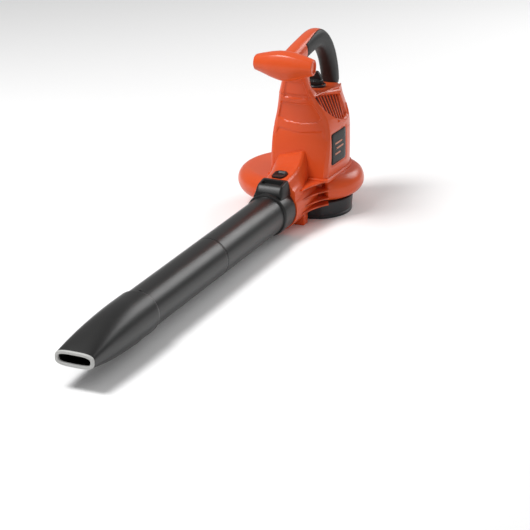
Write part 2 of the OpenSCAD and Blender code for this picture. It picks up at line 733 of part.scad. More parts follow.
module brush_holders() {
    o = brush_w + 3;
    i = brush_w + 0.3;
    color([0.75, 0.6, 0.3]) at_brush(1.5) difference() {
        translate([-o / 2, -o / 2, 0]) cube([o, o, brush_l + 10]);
        translate([-i / 2, -i / 2, -1]) cube([i, i, brush_l + 9.5]);
    }
}
module brush_springs() {
    color(steel) at_brush(run_fit + brush_l) difference() {
        cylinder(r = brush_w / 2 - 0.3, h = 8.5);
        translate([0, 0, -1]) cylinder(r = brush_w / 2 - 1, h = 12);
    }
}

// ------------------------------------------------------------- controls
module power_dial() {
    color(black) translate([0, dial_y, dial_z]) difference() {
        union() {
            cylinder(r = dial_r, h = 9);
            translate([0, 0, 8.9]) intersection() {
                cylinder(r = dial_r - 0.6, h = dial_h - 9);
                rotate([90, 0, 0]) translate([0, 0, -4]) linear_extrude(8)
                    polygon([[-dial_r, 0], [dial_r, 0], [dial_r - 2, 4],
                             [4, dial_h - 9], [-6, dial_h - 9], [-dial_r, 5]]);
            }
            translate([0, 0, -stem_l]) cylinder(r = dial_stem_r, h = stem_l + 1);
        }
        translate([-2, -20, -stem_l - 1]) cube([4, 18.5, 7]);
    }
}
module power_switch() {
    z = column_top - cover_wall - switch_gap - switch_h;
    color(black) difference() {
        translate([-switch_w / 2, dial_y - switch_w / 2, z])
            cube([switch_w, switch_w, switch_h]);
        translate([0, dial_y, z + 3])
            cylinder(r = dial_stem_r + run_fit, h = switch_h);
    }
}
module speed_board() {
    z = scroll_top + 96;
    color([0.1, 0.4, 0.2]) translate([-16, 60, z]) cube([32, 1.6, 30]);
    color(black) for (k = [-1, 1]) translate([k * 8 - 4, 61.6, z + 6]) cube([8, 7, 12]);
    color(steel) translate([-10, 57, z + 4]) cube([20, 3, 20]);
}
module cord_gland() {
    color(black) difference() {
        translate([0, gland_rear, cord_z]) rotate([90, 0, 0]) union() {
            cylinder(r = gland_r, h = 3);
            cylinder(r = gland_r - 2 - 0.05, h = gland_l);
            translate([0, 0, 3 + gland_neck]) cylinder(r = gland_r, h = 3);
        }
        translate([0, gland_rear + 1, cord_z]) rotate([90, 0, 0])
            cylinder(r = cord_r, h = gland_l + 2);
    }
}
module release_button() {
    w = button_w / 2;
    l = button_l / 2;
    color(black) at_button() difference() {
        union() {
            translate([0, 0, 1 - btn_plate]) linear_extrude(btn_plate)
                polygon([[-w, -l + 6], [-w + 6, -l], [w - 6, -l], [w, -l + 6],
                         [w, l - 6], [w - 6, l], [-w + 6, l], [-w, l - 6]]);
            translate([0, 0, -btn_well + btn_travel + 0.5])
                cylinder(r = btn_boss_r, h = btn_well - btn_plate - btn_travel + 1);
        }
        translate([0, 4, 15]) rotate([0, 90, 0]) cylinder(r = 16, h = 12, center = true);
    }
}
module button_spring() {
    color(steel) at_button() translate([0, 0, -btn_well]) difference() {
        cylinder(r = btn_boss_r + 2.2, h = btn_well - btn_plate + 1);
        translate([0, 0, -1]) cylinder(r = btn_boss_r + 1, h = btn_well + 2);
    }
}

// ------------------------------------------------------------- tube
module along_duct(y) {
    translate([duct_x, -duct_front + y, duct_z]) rotate([90, 0, 0]) children();
}
collar_tube_in = 8;
module tube_collar() {
    color(black) difference() {
        union() {
            along_duct(0) translate([0, 0, 0.5]) cylinder(r = collar_r, h = collar_l - 3);
            along_duct(-collar_l + 2.5) cylinder(r1 = collar_r, r2 = collar_r - 2, h = 2.5);
            along_duct(spigot_l) cylinder(r = duct_bore_r - run_fit, h = spigot_l + 1);
            intersection() {
                translate([duct_x - 50, 0, 0]) rotate([90, 0, 90]) linear_extrude(100)
                    polygon([[-duct_front - 0.5, duct_z + 30],
                        [-duct_front - 0.5, duct_z + fairing_h - 1],
                        [-duct_front - 17, duct_z + fairing_h - 4],
                        [-duct_front - 34, duct_z + collar_r + 3],
                        [-duct_front - 38, duct_z + 30]]);
                translate([duct_x, 0, 0]) rotate([90, 0, 0])
                    linear_extrude(big, center = true) polygon([[-30, duct_z + 28],
                        [-23, duct_z + fairing_h], [23, duct_z + fairing_h],
                        [30, duct_z + 28]]);
            }
            translate([duct_x - tongue_w / 2, -duct_front - 3, tongue_z])
                cube([tongue_w, tongue_l + 3, tongue_t]);
        }
        along_duct(spigot_l + 1) cylinder(r = tube_r1 - tube_wall, h = 200);
        along_duct(-collar_l + collar_tube_in + 10) cylinder(r = tube_r1 + 0.05, h = 200);
        translate([duct_x - 19, -duct_front - 24, duct_z + fairing_h - 12])
            cube([38, 15, 20]);
    }
}
module blow_tube() {
    l = tube_l - collar_l + collar_tube_in + 10 - noz_stop;
    color(black) along_duct(-collar_l + collar_tube_in + 10) difference() {
        union() {
            cylinder(r = tube_r1, h = collar_tube_in + 12);
            translate([0, 0, collar_tube_in + 12])
                cylinder(r1 = tube_r1, r2 = tube_r2, h = l - collar_tube_in - 12 - 26);
            translate([0, 0, l - 26]) cylinder(r = tube_r2, h = 26);
        }
        translate([0, 0, -1]) cylinder(r = tube_r2 - tube_wall, h = l + 2);
    }
}
// Nozzle section at share t of its length: round at 0, a flat slot at 1
function noz_pt(a, t, w, h, r) = let (k = 1 - t * t, n = 0.6 + 0.4 * k)
    [(w + (r - w) * k) * sgn_pow(cos(a), n), (h + (r - h) * k) * sgn_pow(sin(a), n)];
function noz_ring(t, y, w, h, r) = [for (k = [0:35]) let (q = noz_pt(k * 10, t,
    w, h, r)) [duct_x + q[0], y, duct_z + q[1]]];
tube_end = -duct_front - tube_l;
mouth_y = tube_end - nozzle_l + sleeve_l;
module nozzle() {
    st = [0, 0.1, 0.25, 0.4, 0.55, 0.7, 0.8, 0.9, 0.96, 1];
    ys = tube_end + noz_stop;
    yl = mouth_y + lip_l - ys;
    color(black) {
        difference() {
            translate([duct_x, tube_end - 1, duct_z]) rotate([-90, 0, 0])
                cylinder(r = sleeve_r, h = sleeve_l + 1);
            translate([duct_x, tube_end - 2, duct_z]) rotate([-90, 0, 0])
                cylinder(r = tube_r2 + run_fit, h = sleeve_l + 4);
            translate([duct_x, tube_end + sleeve_l - sleeve_cut, 0])
                rotate([0, 0, sleeve_skew]) translate([-100, 0, -50]) cube([200, 100, 200]);
        }
        tube_loft([for (t = st) noz_ring(t, ys + yl * t, mouth_w / 2, mouth_h / 2,
                sleeve_r - 0.15)],
            [for (t = st) noz_ring(t, ys + yl * t, mouth_w / 2 - lip_t,
                mouth_h / 2 - lip_t, tube_r2 - tube_wall)], true);
    }
}
module nozzle_lip() {
    w = mouth_w / 2;
    h = mouth_h / 2;
    color(grey) tube_loft([for (t = [0, 0.7, 1]) let (c = t == 1 ? 1 : 0)
            noz_ring(1, mouth_y + lip_l * (1 - t), w - c, h - c, 1)],
        [for (t = [0, 0.7, 1]) noz_ring(1, mouth_y + lip_l * (1 - t),
            w - lip_t, h - lip_t, 1)], true);
}

// ------------------------------------------------------------- screws
module screw(l) {
    cylinder(r = screw_r, h = l);
    translate([0, 0, -2.4]) cylinder(r = screw_r * 1.8, h = 2.4);
}
module motor_cover_screws() {
    color(steel) for (q = cover_bolts) translate([-14, q[0], q[1]])
        rotate([0, 90, 0]) screw(28);
}
module bracket_screws() {
    color(steel) for (a = [0:90:270]) rotate([0, 0, a])
        translate([bracket_bolt_r, 0, 0]) mirror([0, 0, 1])
            translate([0, 0, -scroll_top - bracket_t]) screw(bracket_t + 2);
}
module fan_housing_screws() {
    color(steel) for (q = lugs) translate([q[0], q[1], scroll_mid - 9]) screw(14);
}
module inlet_ring_screws() {
    color(steel) for (a = ring_bolts) rotate([0, 0, a])
        translate([cover_bolt_r, 0, scroll_z - 3]) screw(5);
}

fan_housing_top();
fan_housing_bottom();
inlet_ring();
inlet_cover();
inlet_hinge_pin();
inlet_latch();
motor_cover_left();
motor_cover_right();
vent_grille_left();
vent_grille_right();
badge_left();
badge_right();
handle_left();
handle_right();
handle_grip();
front_handle();
front_handle_caps();
power_dial();
power_switch();
speed_board();
cord_gland();
field_core();
field_windings();
lower_bracket();
upper_bracket();
lower_bearing();
upper_bearing();
motor_shaft();
armature_core();
commutator();
cooling_fan();
impeller();
impeller_nut();
brush_holders();
carbon_brushes();
brush_springs();
release_button();
button_spring();
tube_collar();
blow_tube();
nozzle();
nozzle_lip();
motor_cover_screws();
bracket_screws();
fan_housing_screws();
inlet_ring_screws();
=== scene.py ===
# %% [markdown]
# # A corded leaf blower
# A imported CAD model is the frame: it says where every part sits and which body
# it moves with. This lesson gives it a moulded skin. The hard, simple parts
# inside keep their CAD shape and get a finish. The moulded shells outside are
# modelled again, because a real moulding has crowned faces and soft edges.

# %% Open the frame
import bpy
import json
import math
import numpy as np
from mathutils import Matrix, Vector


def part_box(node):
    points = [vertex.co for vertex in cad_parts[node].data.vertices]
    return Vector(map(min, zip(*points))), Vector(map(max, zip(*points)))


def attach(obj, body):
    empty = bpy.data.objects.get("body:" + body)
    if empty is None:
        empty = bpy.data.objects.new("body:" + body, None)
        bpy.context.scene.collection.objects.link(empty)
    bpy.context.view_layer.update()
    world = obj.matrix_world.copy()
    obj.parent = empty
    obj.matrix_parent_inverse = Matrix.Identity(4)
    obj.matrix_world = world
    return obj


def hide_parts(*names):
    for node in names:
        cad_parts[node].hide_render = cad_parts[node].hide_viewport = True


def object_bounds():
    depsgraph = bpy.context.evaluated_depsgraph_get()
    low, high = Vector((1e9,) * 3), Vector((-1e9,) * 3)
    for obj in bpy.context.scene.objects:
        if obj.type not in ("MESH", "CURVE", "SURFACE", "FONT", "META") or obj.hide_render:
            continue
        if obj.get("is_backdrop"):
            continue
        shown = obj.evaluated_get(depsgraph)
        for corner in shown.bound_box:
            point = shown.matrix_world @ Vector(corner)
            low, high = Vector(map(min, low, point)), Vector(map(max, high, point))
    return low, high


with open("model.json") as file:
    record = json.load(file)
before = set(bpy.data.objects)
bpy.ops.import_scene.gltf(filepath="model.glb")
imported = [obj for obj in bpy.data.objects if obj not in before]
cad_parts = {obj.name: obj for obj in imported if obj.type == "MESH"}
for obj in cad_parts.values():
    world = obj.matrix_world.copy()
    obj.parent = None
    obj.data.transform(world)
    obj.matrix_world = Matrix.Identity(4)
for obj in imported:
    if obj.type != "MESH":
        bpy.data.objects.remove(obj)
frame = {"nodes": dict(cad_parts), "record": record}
cad_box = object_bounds()
bpy.ops.object.select_all(action="DESELECT")
mm = 0.001

# %% [markdown]
# ## Camera
# The machine is seen from its front left and from a little above, through a
# long lens, which keeps the tube and the body in proportion.

# %% Camera
bpy.ops.object.camera_add(location=(1.2038, -2.9496, 1.0979),
    rotation=(math.radians(69.07), 0, math.radians(23.82)))
camera = bpy.context.object
camera.name = "camera"
camera.data.lens = 120.05
camera.data.sensor_width = 36
bpy.context.scene.camera = camera
bpy.context.scene.view_settings.view_transform = "Standard"
print("camera at", [round(v, 3) for v in camera.location])

# %% [markdown]
# ## Floor and light
# Glossy plastic shows what stands round it. Large soft lamps give it long, even
# highlights: one high on the left, one low on the right, one behind for the rims.

# %% Floor and light
bpy.ops.mesh.primitive_plane_add(size=60, location=(0, 0, -0.0006))
floor = bpy.context.object
floor.name = "floor"
floor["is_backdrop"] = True


def soft_lamp(name, place, aim, size, power, tint=(1, 1, 1)):
    away = np.array(place) - np.array(aim)
    flat = math.hypot(away[0], away[1])
    turn = (math.atan2(flat, away[2]), 0, math.atan2(away[0], -away[1]))
    bpy.ops.object.light_add(type="AREA", location=place, rotation=turn)
    lamp = bpy.context.object
    lamp.name = name
    lamp.data.shape = "RECTANGLE"
    lamp.data.size, lamp.data.size_y = size
    lamp.data.energy = power
    lamp.data.color = tint
    print(name, "faces", [round(v, 2) for v in aim])


soft_lamp("key_lamp", (-0.9, -1.1, 2.3), (0, -0.2, 0.15), (0.9, 0.9), 56)
soft_lamp("fill_lamp", (2.0, -1.6, 0.9), (0, 0, 0.15), (1.0, 1.4), 5)
soft_lamp("rim_lamp", (0.9, 1.9, 1.4), (0, 0, 0.2), (1.4, 1.0), 22)
world = bpy.data.worlds.new("studio")
bpy.context.scene.world = world
world.use_nodes = True
world.node_tree.nodes["Background"].inputs["Color"].default_value = (1, 1, 1, 1)
world.node_tree.nodes["Background"].inputs["Strength"].default_value = 0.34

# %% [markdown]
# ## Shared finish effects
# Three effects turn up on nearly every material, so each is a node group: the
# fine grain that a mould leaves, the faint scuffs of handling, and the dust that
# settles on faces that look up. Groups hand out masks and heights only. The
# shader stays in the material, where its own sockets are set.

# %% A small kit for node groups
def new_group(name, inputs, outputs):
    group = bpy.data.node_groups.new(name, "ShaderNodeTree")
    for title, value in inputs:
        socket = group.interface.new_socket(title, in_out="INPUT", socket_type="NodeSocketFloat")
        socket.default_value = value
    for title in outputs:
        group.interface.new_socket(title, in_out="OUTPUT", socket_type="NodeSocketFloat")
    return group, group.nodes.new("NodeGroupInput"), group.nodes.new("NodeGroupOutput")


def add_node(tree, kind, **settings):
    node = tree.nodes.new("ShaderNode" + kind)
    for key, value in settings.items():
        if key in node.inputs:
            node.inputs[key].default_value = value
        else:
            setattr(node, key, value)
    return node


def arithmetic(tree, operation, a, b, clamp=False):
    node = add_node(tree, "Math", operation=operation, use_clamp=clamp)
    for slot, value in zip(node.inputs, (a, b)):
        if isinstance(value, (int, float)):
            slot.default_value = value
        else:
            tree.links.new(value, slot)
    return node.outputs[0]


# %% Mould grain
grain_group, g_in, g_out = new_group("mould_grain",
    [("Grain Size", 900.0), ("Unevenness", 14.0)], ["Height", "Mottle"])
coords = add_node(grain_group, "TexCoord")
pebble = add_node(grain_group, "TexVoronoi", feature="SMOOTH_F1")
cloud = add_node(grain_group, "TexNoise", Detail=4.0, Roughness=0.6)
for texture, size in ((pebble, "Grain Size"), (cloud, "Unevenness")):
    grain_group.links.new(coords.outputs["Object"], texture.inputs["Vector"])
    grain_group.links.new(g_in.outputs[size], texture.inputs["Scale"])
grain_group.links.new(pebble.outputs["Distance"], g_out.inputs["Height"])
grain_group.links.new(cloud.outputs[0], g_out.inputs["Mottle"])
print(grain_group.name, "ready")

# %% Handling marks
marks_group, m_in, m_out = new_group("handling_marks",
    [("Amount", 0.5), ("Mark Size", 60.0)], ["Mask"])
coords = add_node(marks_group, "TexCoord")
stretch = add_node(marks_group, "Mapping")
stretch.inputs["Scale"].default_value = (1.0, 0.22, 0.5)
stretch.inputs["Rotation"].default_value = (0.3, 0.5, 0.6)
streak = add_node(marks_group, "TexNoise", Detail=5.0, Roughness=0.7)
marks_group.links.new(coords.outputs["Object"], stretch.inputs["Vector"])
marks_group.links.new(stretch.outputs["Vector"], streak.inputs["Vector"])
marks_group.links.new(m_in.outputs["Mark Size"], streak.inputs["Scale"])
only_peaks = arithmetic(marks_group, "SUBTRACT", streak.outputs[0], 0.56, clamp=True)
strong = arithmetic(marks_group, "MULTIPLY", only_peaks, 6.0, clamp=True)
marks_group.links.new(arithmetic(marks_group, "MULTIPLY", strong, m_in.outputs["Amount"]),
    m_out.inputs["Mask"])
print(marks_group.name, "ready")

# %% Settled dust
dust_group, d_in, d_out = new_group("settled_dust", [("Amount", 0.2)], ["Mask"])
facing = add_node(dust_group, "NewGeometry")
parts = add_node(dust_group, "SeparateXYZ")
dust_group.links.new(facing.outputs["Normal"], parts.inputs[0])
coords = add_node(dust_group, "TexCoord")
speck = add_node(dust_group, "TexNoise", Scale=220.0, Detail=3.0)
dust_group.links.new(coords.outputs["Object"], speck.inputs["Vector"])
upward = arithmetic(dust_group, "POWER", arithmetic(dust_group, "MAXIMUM",
    parts.outputs["Z"], 0.0), 3.0)
patchy = arithmetic(dust_group, "MULTIPLY", upward, speck.outputs[0])
dust_group.links.new(arithmetic(dust_group, "MULTIPLY", patchy, d_in.outputs["Amount"]),
    d_out.inputs["Mask"])
print(dust_group.name, "ready")

# %% [markdown]
# ## Finishes
# Every finish mixes two close tones of its colour, so that no large face is one
# flat value, takes scuffs as a rougher, lighter streak, and carries its grain in
# a bump. The values differ: glossy orange shell, grained black tube, soft rubber.

# %% Finish builder
def finish_of(name, tone, second, rough, grain, depth, marks=0.25, dust=0.08,
              metal=0.0, coat=0.0, drag=None, shine=0.5):
    material = bpy.data.materials.new(name)
    material.use_nodes = True
    tree = material.node_tree
    shader = tree.nodes["Principled BSDF"]
    skin = tree.nodes.new("ShaderNodeGroup")
    skin.node_tree = grain_group
    skin.inputs["Grain Size"].default_value = grain
    scuff = tree.nodes.new("ShaderNodeGroup")
    scuff.node_tree = marks_group
    scuff.inputs["Amount"].default_value = marks
    powder = tree.nodes.new("ShaderNodeGroup")
    powder.node_tree = dust_group
    powder.inputs["Amount"].default_value = dust
    base = add_node(tree, "MixRGB", Color1=(*tone, 1), Color2=(*second, 1))
    tree.links.new(skin.outputs["Mottle"], base.inputs["Fac"])
    worn = add_node(tree, "MixRGB", Color2=(*[min(1, 0.10 + 0.9 * v) for v in second], 1))
    tree.links.new(arithmetic(tree, "MULTIPLY", scuff.outputs["Mask"], 0.35), worn.inputs["Fac"])
    tree.links.new(base.outputs[0], worn.inputs["Color1"])
    dusty = add_node(tree, "MixRGB", Color2=(0.55, 0.53, 0.49, 1))
    tree.links.new(powder.outputs["Mask"], dusty.inputs["Fac"])
    tree.links.new(worn.outputs[0], dusty.inputs["Color1"])
    tree.links.new(dusty.outputs[0], shader.inputs["Base Color"])
    wear = arithmetic(tree, "MULTIPLY", scuff.outputs["Mask"], 0.22)
    cloudy = arithmetic(tree, "MULTIPLY", skin.outputs["Mottle"], 0.08)
    tree.links.new(arithmetic(tree, "ADD", arithmetic(tree, "ADD", wear, cloudy),
        rough - 0.04, clamp=True), shader.inputs["Roughness"])
    bump = add_node(tree, "Bump", Strength=depth, Distance=0.0004)
    height = skin.outputs["Height"]
    if drag:
        coords = add_node(tree, "TexCoord")
        along = add_node(tree, "Mapping")
        along.inputs["Scale"].default_value = drag
        lines = add_node(tree, "TexNoise", Scale=400.0, Detail=2.0)
        tree.links.new(coords.outputs["Object"], along.inputs["Vector"])
        tree.links.new(along.outputs["Vector"], lines.inputs["Vector"])
        height = arithmetic(tree, "ADD", height, lines.outputs[0])
    tree.links.new(height, bump.inputs["Height"])
    tree.links.new(bump.outputs["Normal"], shader.inputs["Normal"])
    shader.inputs["Metallic"].default_value = metal
    shader.inputs["Specular IOR Level"].default_value = shine
    if coat:
        shader.inputs["Coat Weight"].default_value = coat
        shader.inputs["Coat Roughness"].default_value = 0.2
    print("finish", name)
    return material


# %% The finishes
orange_shell = finish_of("orange_shell", (0.70, 0.088, 0.016), (0.64, 0.074, 0.013), 0.30,
    1400.0, 0.05, marks=0.2, dust=0.02, coat=0.12, shine=0.28)
orange_shell.node_tree.nodes["Principled BSDF"].inputs["Subsurface Weight"].default_value = 0.06
orange_shell.node_tree.nodes["Principled BSDF"].inputs["Subsurface Scale"].default_value = 0.004
# Dark red painted shade: it stands for the shadowed inside of the vent pockets, seen between the fins.
painted_pocket_shade = finish_of("painted_pocket_shade", (0.14, 0.012, 0.005), (0.18, 0.016, 0.007), 0.6,
    900.0, 0.30, marks=0.1, dust=0.04)
black_tube = finish_of("black_tube", (0.008, 0.008, 0.008), (0.012, 0.012, 0.012), 0.33,
    1300.0, 0.08, marks=0.06, dust=0.01, shine=0.42)
black_trim = finish_of("black_trim", (0.009, 0.009, 0.009), (0.014, 0.014, 0.014), 0.36,
    1000.0, 0.18, marks=0.10, dust=0.02, shine=0.28)
ring_plastic = finish_of("ring_plastic", (0.013, 0.014, 0.016), (0.022, 0.023, 0.026), 0.34,
    1100.0, 0.22, marks=0.35, dust=0.05, shine=0.30)
grip_rubber = finish_of("grip_rubber", (0.012, 0.012, 0.012), (0.020, 0.020, 0.020), 0.50,
    620.0, 0.55, marks=0.3, dust=0.04, shine=0.30)
badge_gloss = finish_of("badge_gloss", (0.003, 0.003, 0.003), (0.005, 0.005, 0.005), 0.24,
    1500.0, 0.10, marks=0.3, dust=0.02, shine=0.10)
badge_mark = finish_of("badge_mark", (0.50, 0.14, 0.055), (0.42, 0.11, 0.045), 0.34,
    1500.0, 0.05, marks=0.2, dust=0.02)
lip_grey = finish_of("lip_grey", (0.44, 0.44, 0.43), (0.52, 0.52, 0.50), 0.42,
    1200.0, 0.15, marks=0.4, dust=0.05)
ground_steel = finish_of("ground_steel", (0.52, 0.53, 0.55), (0.42, 0.43, 0.45), 0.30,
    1500.0, 0.10, metal=1.0, drag=(1.0, 1.0, 12.0))
cast_aluminium = finish_of("cast_aluminium", (0.66, 0.67, 0.68), (0.55, 0.56, 0.57), 0.48,
    700.0, 0.45, metal=1.0)
copper_brass = finish_of("copper_brass", (0.72, 0.40, 0.18), (0.62, 0.30, 0.13), 0.34,
    1500.0, 0.15, metal=1.0, drag=(10.0, 10.0, 1.0))
board_green = finish_of("board_green", (0.02, 0.09, 0.05), (0.03, 0.12, 0.07), 0.36,
    1200.0, 0.12, coat=0.3)
pressed_carbon = finish_of("pressed_carbon", (0.018, 0.018, 0.018), (0.03, 0.03, 0.03), 0.58,
    1000.0, 0.40)

# %% Floor finish
pale = bpy.data.materials.new("pale_floor")
pale.use_nodes = True
pale.node_tree.nodes["Principled BSDF"].inputs["Base Color"].default_value = (0.97, 0.97, 0.97, 1)
pale.node_tree.nodes["Principled BSDF"].inputs["Roughness"].default_value = 0.9
floor.data.materials.append(pale)

# %% Finishes for the parts that keep their CAD shape
by_slot = {"orange_plastic": orange_shell, "black_plastic": black_trim, "badge_plastic": badge_gloss,
    "grip_rubber": grip_rubber, "lip_plastic": lip_grey, "electric_plastic": board_green,
    "steel": ground_steel, "aluminium_cast": cast_aluminium, "brass_parts": copper_brass,
    "carbon": pressed_carbon}
for part in frame["record"]["subparts"]:
    node = frame["nodes"][part["node"]]
    node.data.materials.clear()
    node.data.materials.append(by_slot[part["material_slot"]])
frame["nodes"]["power_switch"].data.materials[0] = black_trim
print("finished", len(frame["nodes"]), "carried-over parts")

# %% [markdown]
# ## Tools for moulded shells
# A moulding is a skin wrapped round sections. It could be pushed out of a cube
# by hand, but long crowned faces come out smoother when a flat grid is added and
# each of its rows is bent round one section, as sheet is rolled round a former.
# The seam and the closed ends are then merged and the normals recalculated.

# %% Wrap a grid round sections
def wrap(name, rows, body, *stands_for, finish, slot, sharp=38, closed=True):
    rows = np.array(rows, float) * mm
    if closed:
        rows = np.concatenate([rows, rows[:, :1]], axis=1)
    tall, wide = rows.shape[:2]
    bpy.ops.object.select_all(action="DESELECT")
    bpy.ops.mesh.primitive_grid_add(x_subdivisions=wide - 1, y_subdivisions=tall - 1, size=2)
    piece = bpy.context.object
    flat = np.empty(len(piece.data.vertices) * 3)
    piece.data.vertices.foreach_get("co", flat)
    flat = flat.reshape(-1, 3)
    across = np.rint((flat[:, 0] + 1) / 2 * (wide - 1)).astype(int)
    up = np.rint((flat[:, 1] + 1) / 2 * (tall - 1)).astype(int)
    piece.data.vertices.foreach_set("co", rows[up, across].ravel())
    piece.data.update()
    bpy.ops.object.mode_set(mode="EDIT")
    bpy.ops.mesh.select_all(action="SELECT")
    bpy.ops.mesh.remove_doubles(threshold=1e-6)
    bpy.ops.mesh.dissolve_degenerate(threshold=1e-7)
    bpy.ops.mesh.normals_make_consistent(inside=False)
    bpy.ops.object.mode_set(mode="OBJECT")
    return dress(piece, name, body, *stands_for, finish=finish, slot=slot, sharp=sharp)


def dress(piece, name, body, *stands_for, finish, slot, sharp=38):
    bpy.ops.object.select_all(action="DESELECT")
    piece.select_set(True)
    bpy.context.view_layer.objects.active = piece
    bpy.ops.object.transform_apply(location=True, rotation=True, scale=True)
    piece.name = piece.data.name = name
    piece.data.materials.clear()
    piece.data.materials.append(finish)
    bpy.ops.object.shade_smooth_by_angle(angle=math.radians(sharp))
    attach(piece, body)
    if stands_for:
        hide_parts(*stands_for)
    print(name, "has", len(piece.data.polygons), "faces")
    return piece


# %% Round the corners of a drawn outline
def soften(points, radius, closed=True, steps=5):
    points = [np.array(p, float) for p in points]
    radii = radius if isinstance(radius, (list, tuple)) else [radius] * len(points)
    out = []
    for k, here in enumerate(points):
        if not closed and k in (0, len(points) - 1):
            out.append(here)
            continue
        before, after = points[k - 1] - here, points[(k + 1) % len(points)] - here
        reach = min(radii[k], 0.48 * np.linalg.norm(before), 0.48 * np.linalg.norm(after))
        start = here + before / np.linalg.norm(before) * reach
        end = here + after / np.linalg.norm(after) * reach
        out += [(1 - t) ** 2 * start + 2 * t * (1 - t) * here + t * t * end
                for t in np.linspace(0, 1, steps)]
    return np.array(out)


def respace(points, count, closed=True):
    points = np.array(points, float)
    if closed:
        points = np.vstack([points, points[:1]])
    length = np.r_[0, np.cumsum(np.linalg.norm(np.diff(points, axis=0), axis=1))]
    at = np.linspace(0, length[-1], count + (1 if closed else 0))[:count]
    return np.stack([np.interp(at, length, points[:, k]) for k in range(points.shape[1])], axis=1)


# %% Turn a profile round an axis
def turned(profile, count=120, axis="Z", centre=(0, 0)):
    rows = []
    for a in np.linspace(0, 2 * math.pi, count, endpoint=False):
        c, s = math.cos(a), math.sin(a)
        if axis == "Z":
            rows.append([(r * c + centre[0], r * s + centre[1], h) for r, h in profile])
        else:
            rows.append([(r * c + centre[0], h, r * s + centre[1]) for r, h in profile])
    rows.append(rows[0])
    return np.array(rows)


# %% Press a shape into a skin
def outline_distance(u, v, corners):
    corners = np.array(corners, float)
    best = np.full(u.shape, 1e9)
    inside = np.zeros(u.shape, bool)
    for (ax, ay), (bx, by) in zip(corners, np.roll(corners, -1, axis=0)):
        ex, ey = bx - ax, by - ay
        t = np.clip(((u - ax) * ex + (v - ay) * ey) / (ex * ex + ey * ey), 0, 1)
        best = np.minimum(best, np.hypot(u - ax - t * ex, v - ay - t * ey))
        crosses = ((ay > v) != (by > v)) & (u < (bx - ax) * (v - ay) / (by - ay + 1e-12) + ax)
        inside ^= crosses
    return np.where(inside, -best, best)


def patch(u, v, corners, rounding, slope):
    far = outline_distance(u, v, corners) - rounding
    t = np.clip(0.5 - far / slope, 0, 1)
    return t * t * (3 - 2 * t)


def skin_normals(rows):
    down = np.gradient(rows, axis=0)
    ahead = np.roll(rows, -1, axis=1) - np.roll(rows, 1, axis=1)
    normal = np.cross(ahead, down)
    return normal / np.maximum(np.linalg.norm(normal, axis=2, keepdims=True), 1e-9)


def blur(values, times, axis=0):
    for _ in range(times):
        padded = np.concatenate([np.take(values, [0], axis), values,
            np.take(values, [-1], axis)], axis)
        n = values.shape[axis]
        values = (np.take(padded, range(n), axis) + 2 * values
                  + np.take(padded, range(2, n + 2), axis)) / 4
    return values


# %% [markdown]
# ## Motor column
# The column is moulded in two halves that meet without a step, so it is made as
# one skin. Its front is a broad crowned face with a bevel along each edge, its
# rear is round, and it leans forward at the top into the post of the front
# handle. Above the vents its front is drawn in further on +X than on -X. Three
# shallow panels, the vent pockets and the badge seats are pressed into the
# finished skin, which is what a mould does.

# %% Column sections
scroll_top, column_top = 79.0, 236.0
share = [0, 0.1, 0.25, 0.42, 0.52, 0.58, 0.66, 0.70, 0.80, 0.90, 1.0]
col_front = [-76, -74.2, -71.5, -67.5, -65, -64, -63.5, -64, -67, -71, -76.5]
col_edge = [56, 57.5, 58, 58, 57, 55.8, 53.5, 51.5, 47.5, 44, 40]
col_side = [60, 60, 60, 59.5, 59, 58.5, 57.5, 56.2, 52.5, 48.5, 45]
col_rear = [94, 94, 94, 94, 94, 93.5, 92.5, 91.5, 89, 88, 92]
col_round = [0.85, 0.85, 0.85, 0.85, 0.85, 0.88, 0.93, 1.0, 1.1, 1.2, 1.3]
heights = np.arange(scroll_top, column_top + 0.1, 1.25)
smooth = lambda table: blur(np.interp((heights - scroll_top) / (column_top - scroll_top),
    share, table), 30)
body_rows = list(zip(heights, *(smooth(t) for t in
    (col_front, col_edge, col_side, col_rear, col_round))))


def column_section(front, edge, side, rear, roundness, middle=10.0):
    a = [(x, front + 2.2 * (x / (0.86 * edge)) ** 2) for x in np.linspace(0, 0.86 * edge, 44)]
    b = [(0.86 * edge + t * 0.14 * edge, front + 2.2 + 5.8 * t) for t in np.linspace(0, 1, 8)[1:]]
    c = [(edge + (side - edge) * math.sin(t * math.pi / 2), front + 8 + (middle - front - 8) * t)
         for t in np.linspace(0, 1, 56)[1:]]
    d = [(side * math.cos(t) ** roundness, middle + (rear - middle) * math.sin(t) ** roundness)
         for t in np.linspace(0, math.pi / 2, 60)[1:]]
    d[-1] = (0.0, rear)
    half = np.array(a + b + c + d)
    return np.vstack([half, half[-2:0:-1] * (-1, 1)])


print(len(body_rows), "levels of", len(column_section(*body_rows[0][1:])), "points")

# %% Column skin
levels = []
for z, *shape in body_rows:
    ring = column_section(*shape)
    step_down = 11 * np.clip((ring[:, 1] - 44) / 14, 0, 1) * max(0, (z - 204.6) / 31.4)
    levels.append(np.column_stack([ring, z - step_down]))
top_ring = levels[-1]
post_foot = column_section(-76.5, 40, 40.5, -47, 0.55, middle=-57)
for t in (0.04, 0.12, 0.3, 0.6, 0.85, 0.97):
    flat = top_ring[:, :2] * (1 - t) + post_foot * t
    levels.append(np.column_stack([flat, top_ring[:, 2] * (1 - t) + 236 * t + 1.2 * min(t / 0.1, 1)]))
post_z = np.arange(237.6, 296, 1.3)
for z in post_z:
    s = (z - 236) / 54
    front = np.interp(s, [0, 0.09, 0.45, 1], [-76.5, -77.5, -81, -89])
    edge = np.interp(s, [0, 0.09, 0.45, 1], [40, 38.7, 33, 26])
    ring = column_section(front, edge, edge + 0.5, -47, 0.55, middle=(front - 47) / 2 + 5)
    levels.append(np.column_stack([ring, np.full(len(ring), z)]))
levels = np.array(levels)
levels[:, :, :2] = np.stack([blur(np.concatenate([levels[:, -6:, k], levels[:, :, k],
    levels[:, :6, k]], axis=1), 3, axis=1)[:, 6:-6] for k in (0, 1)], axis=2)
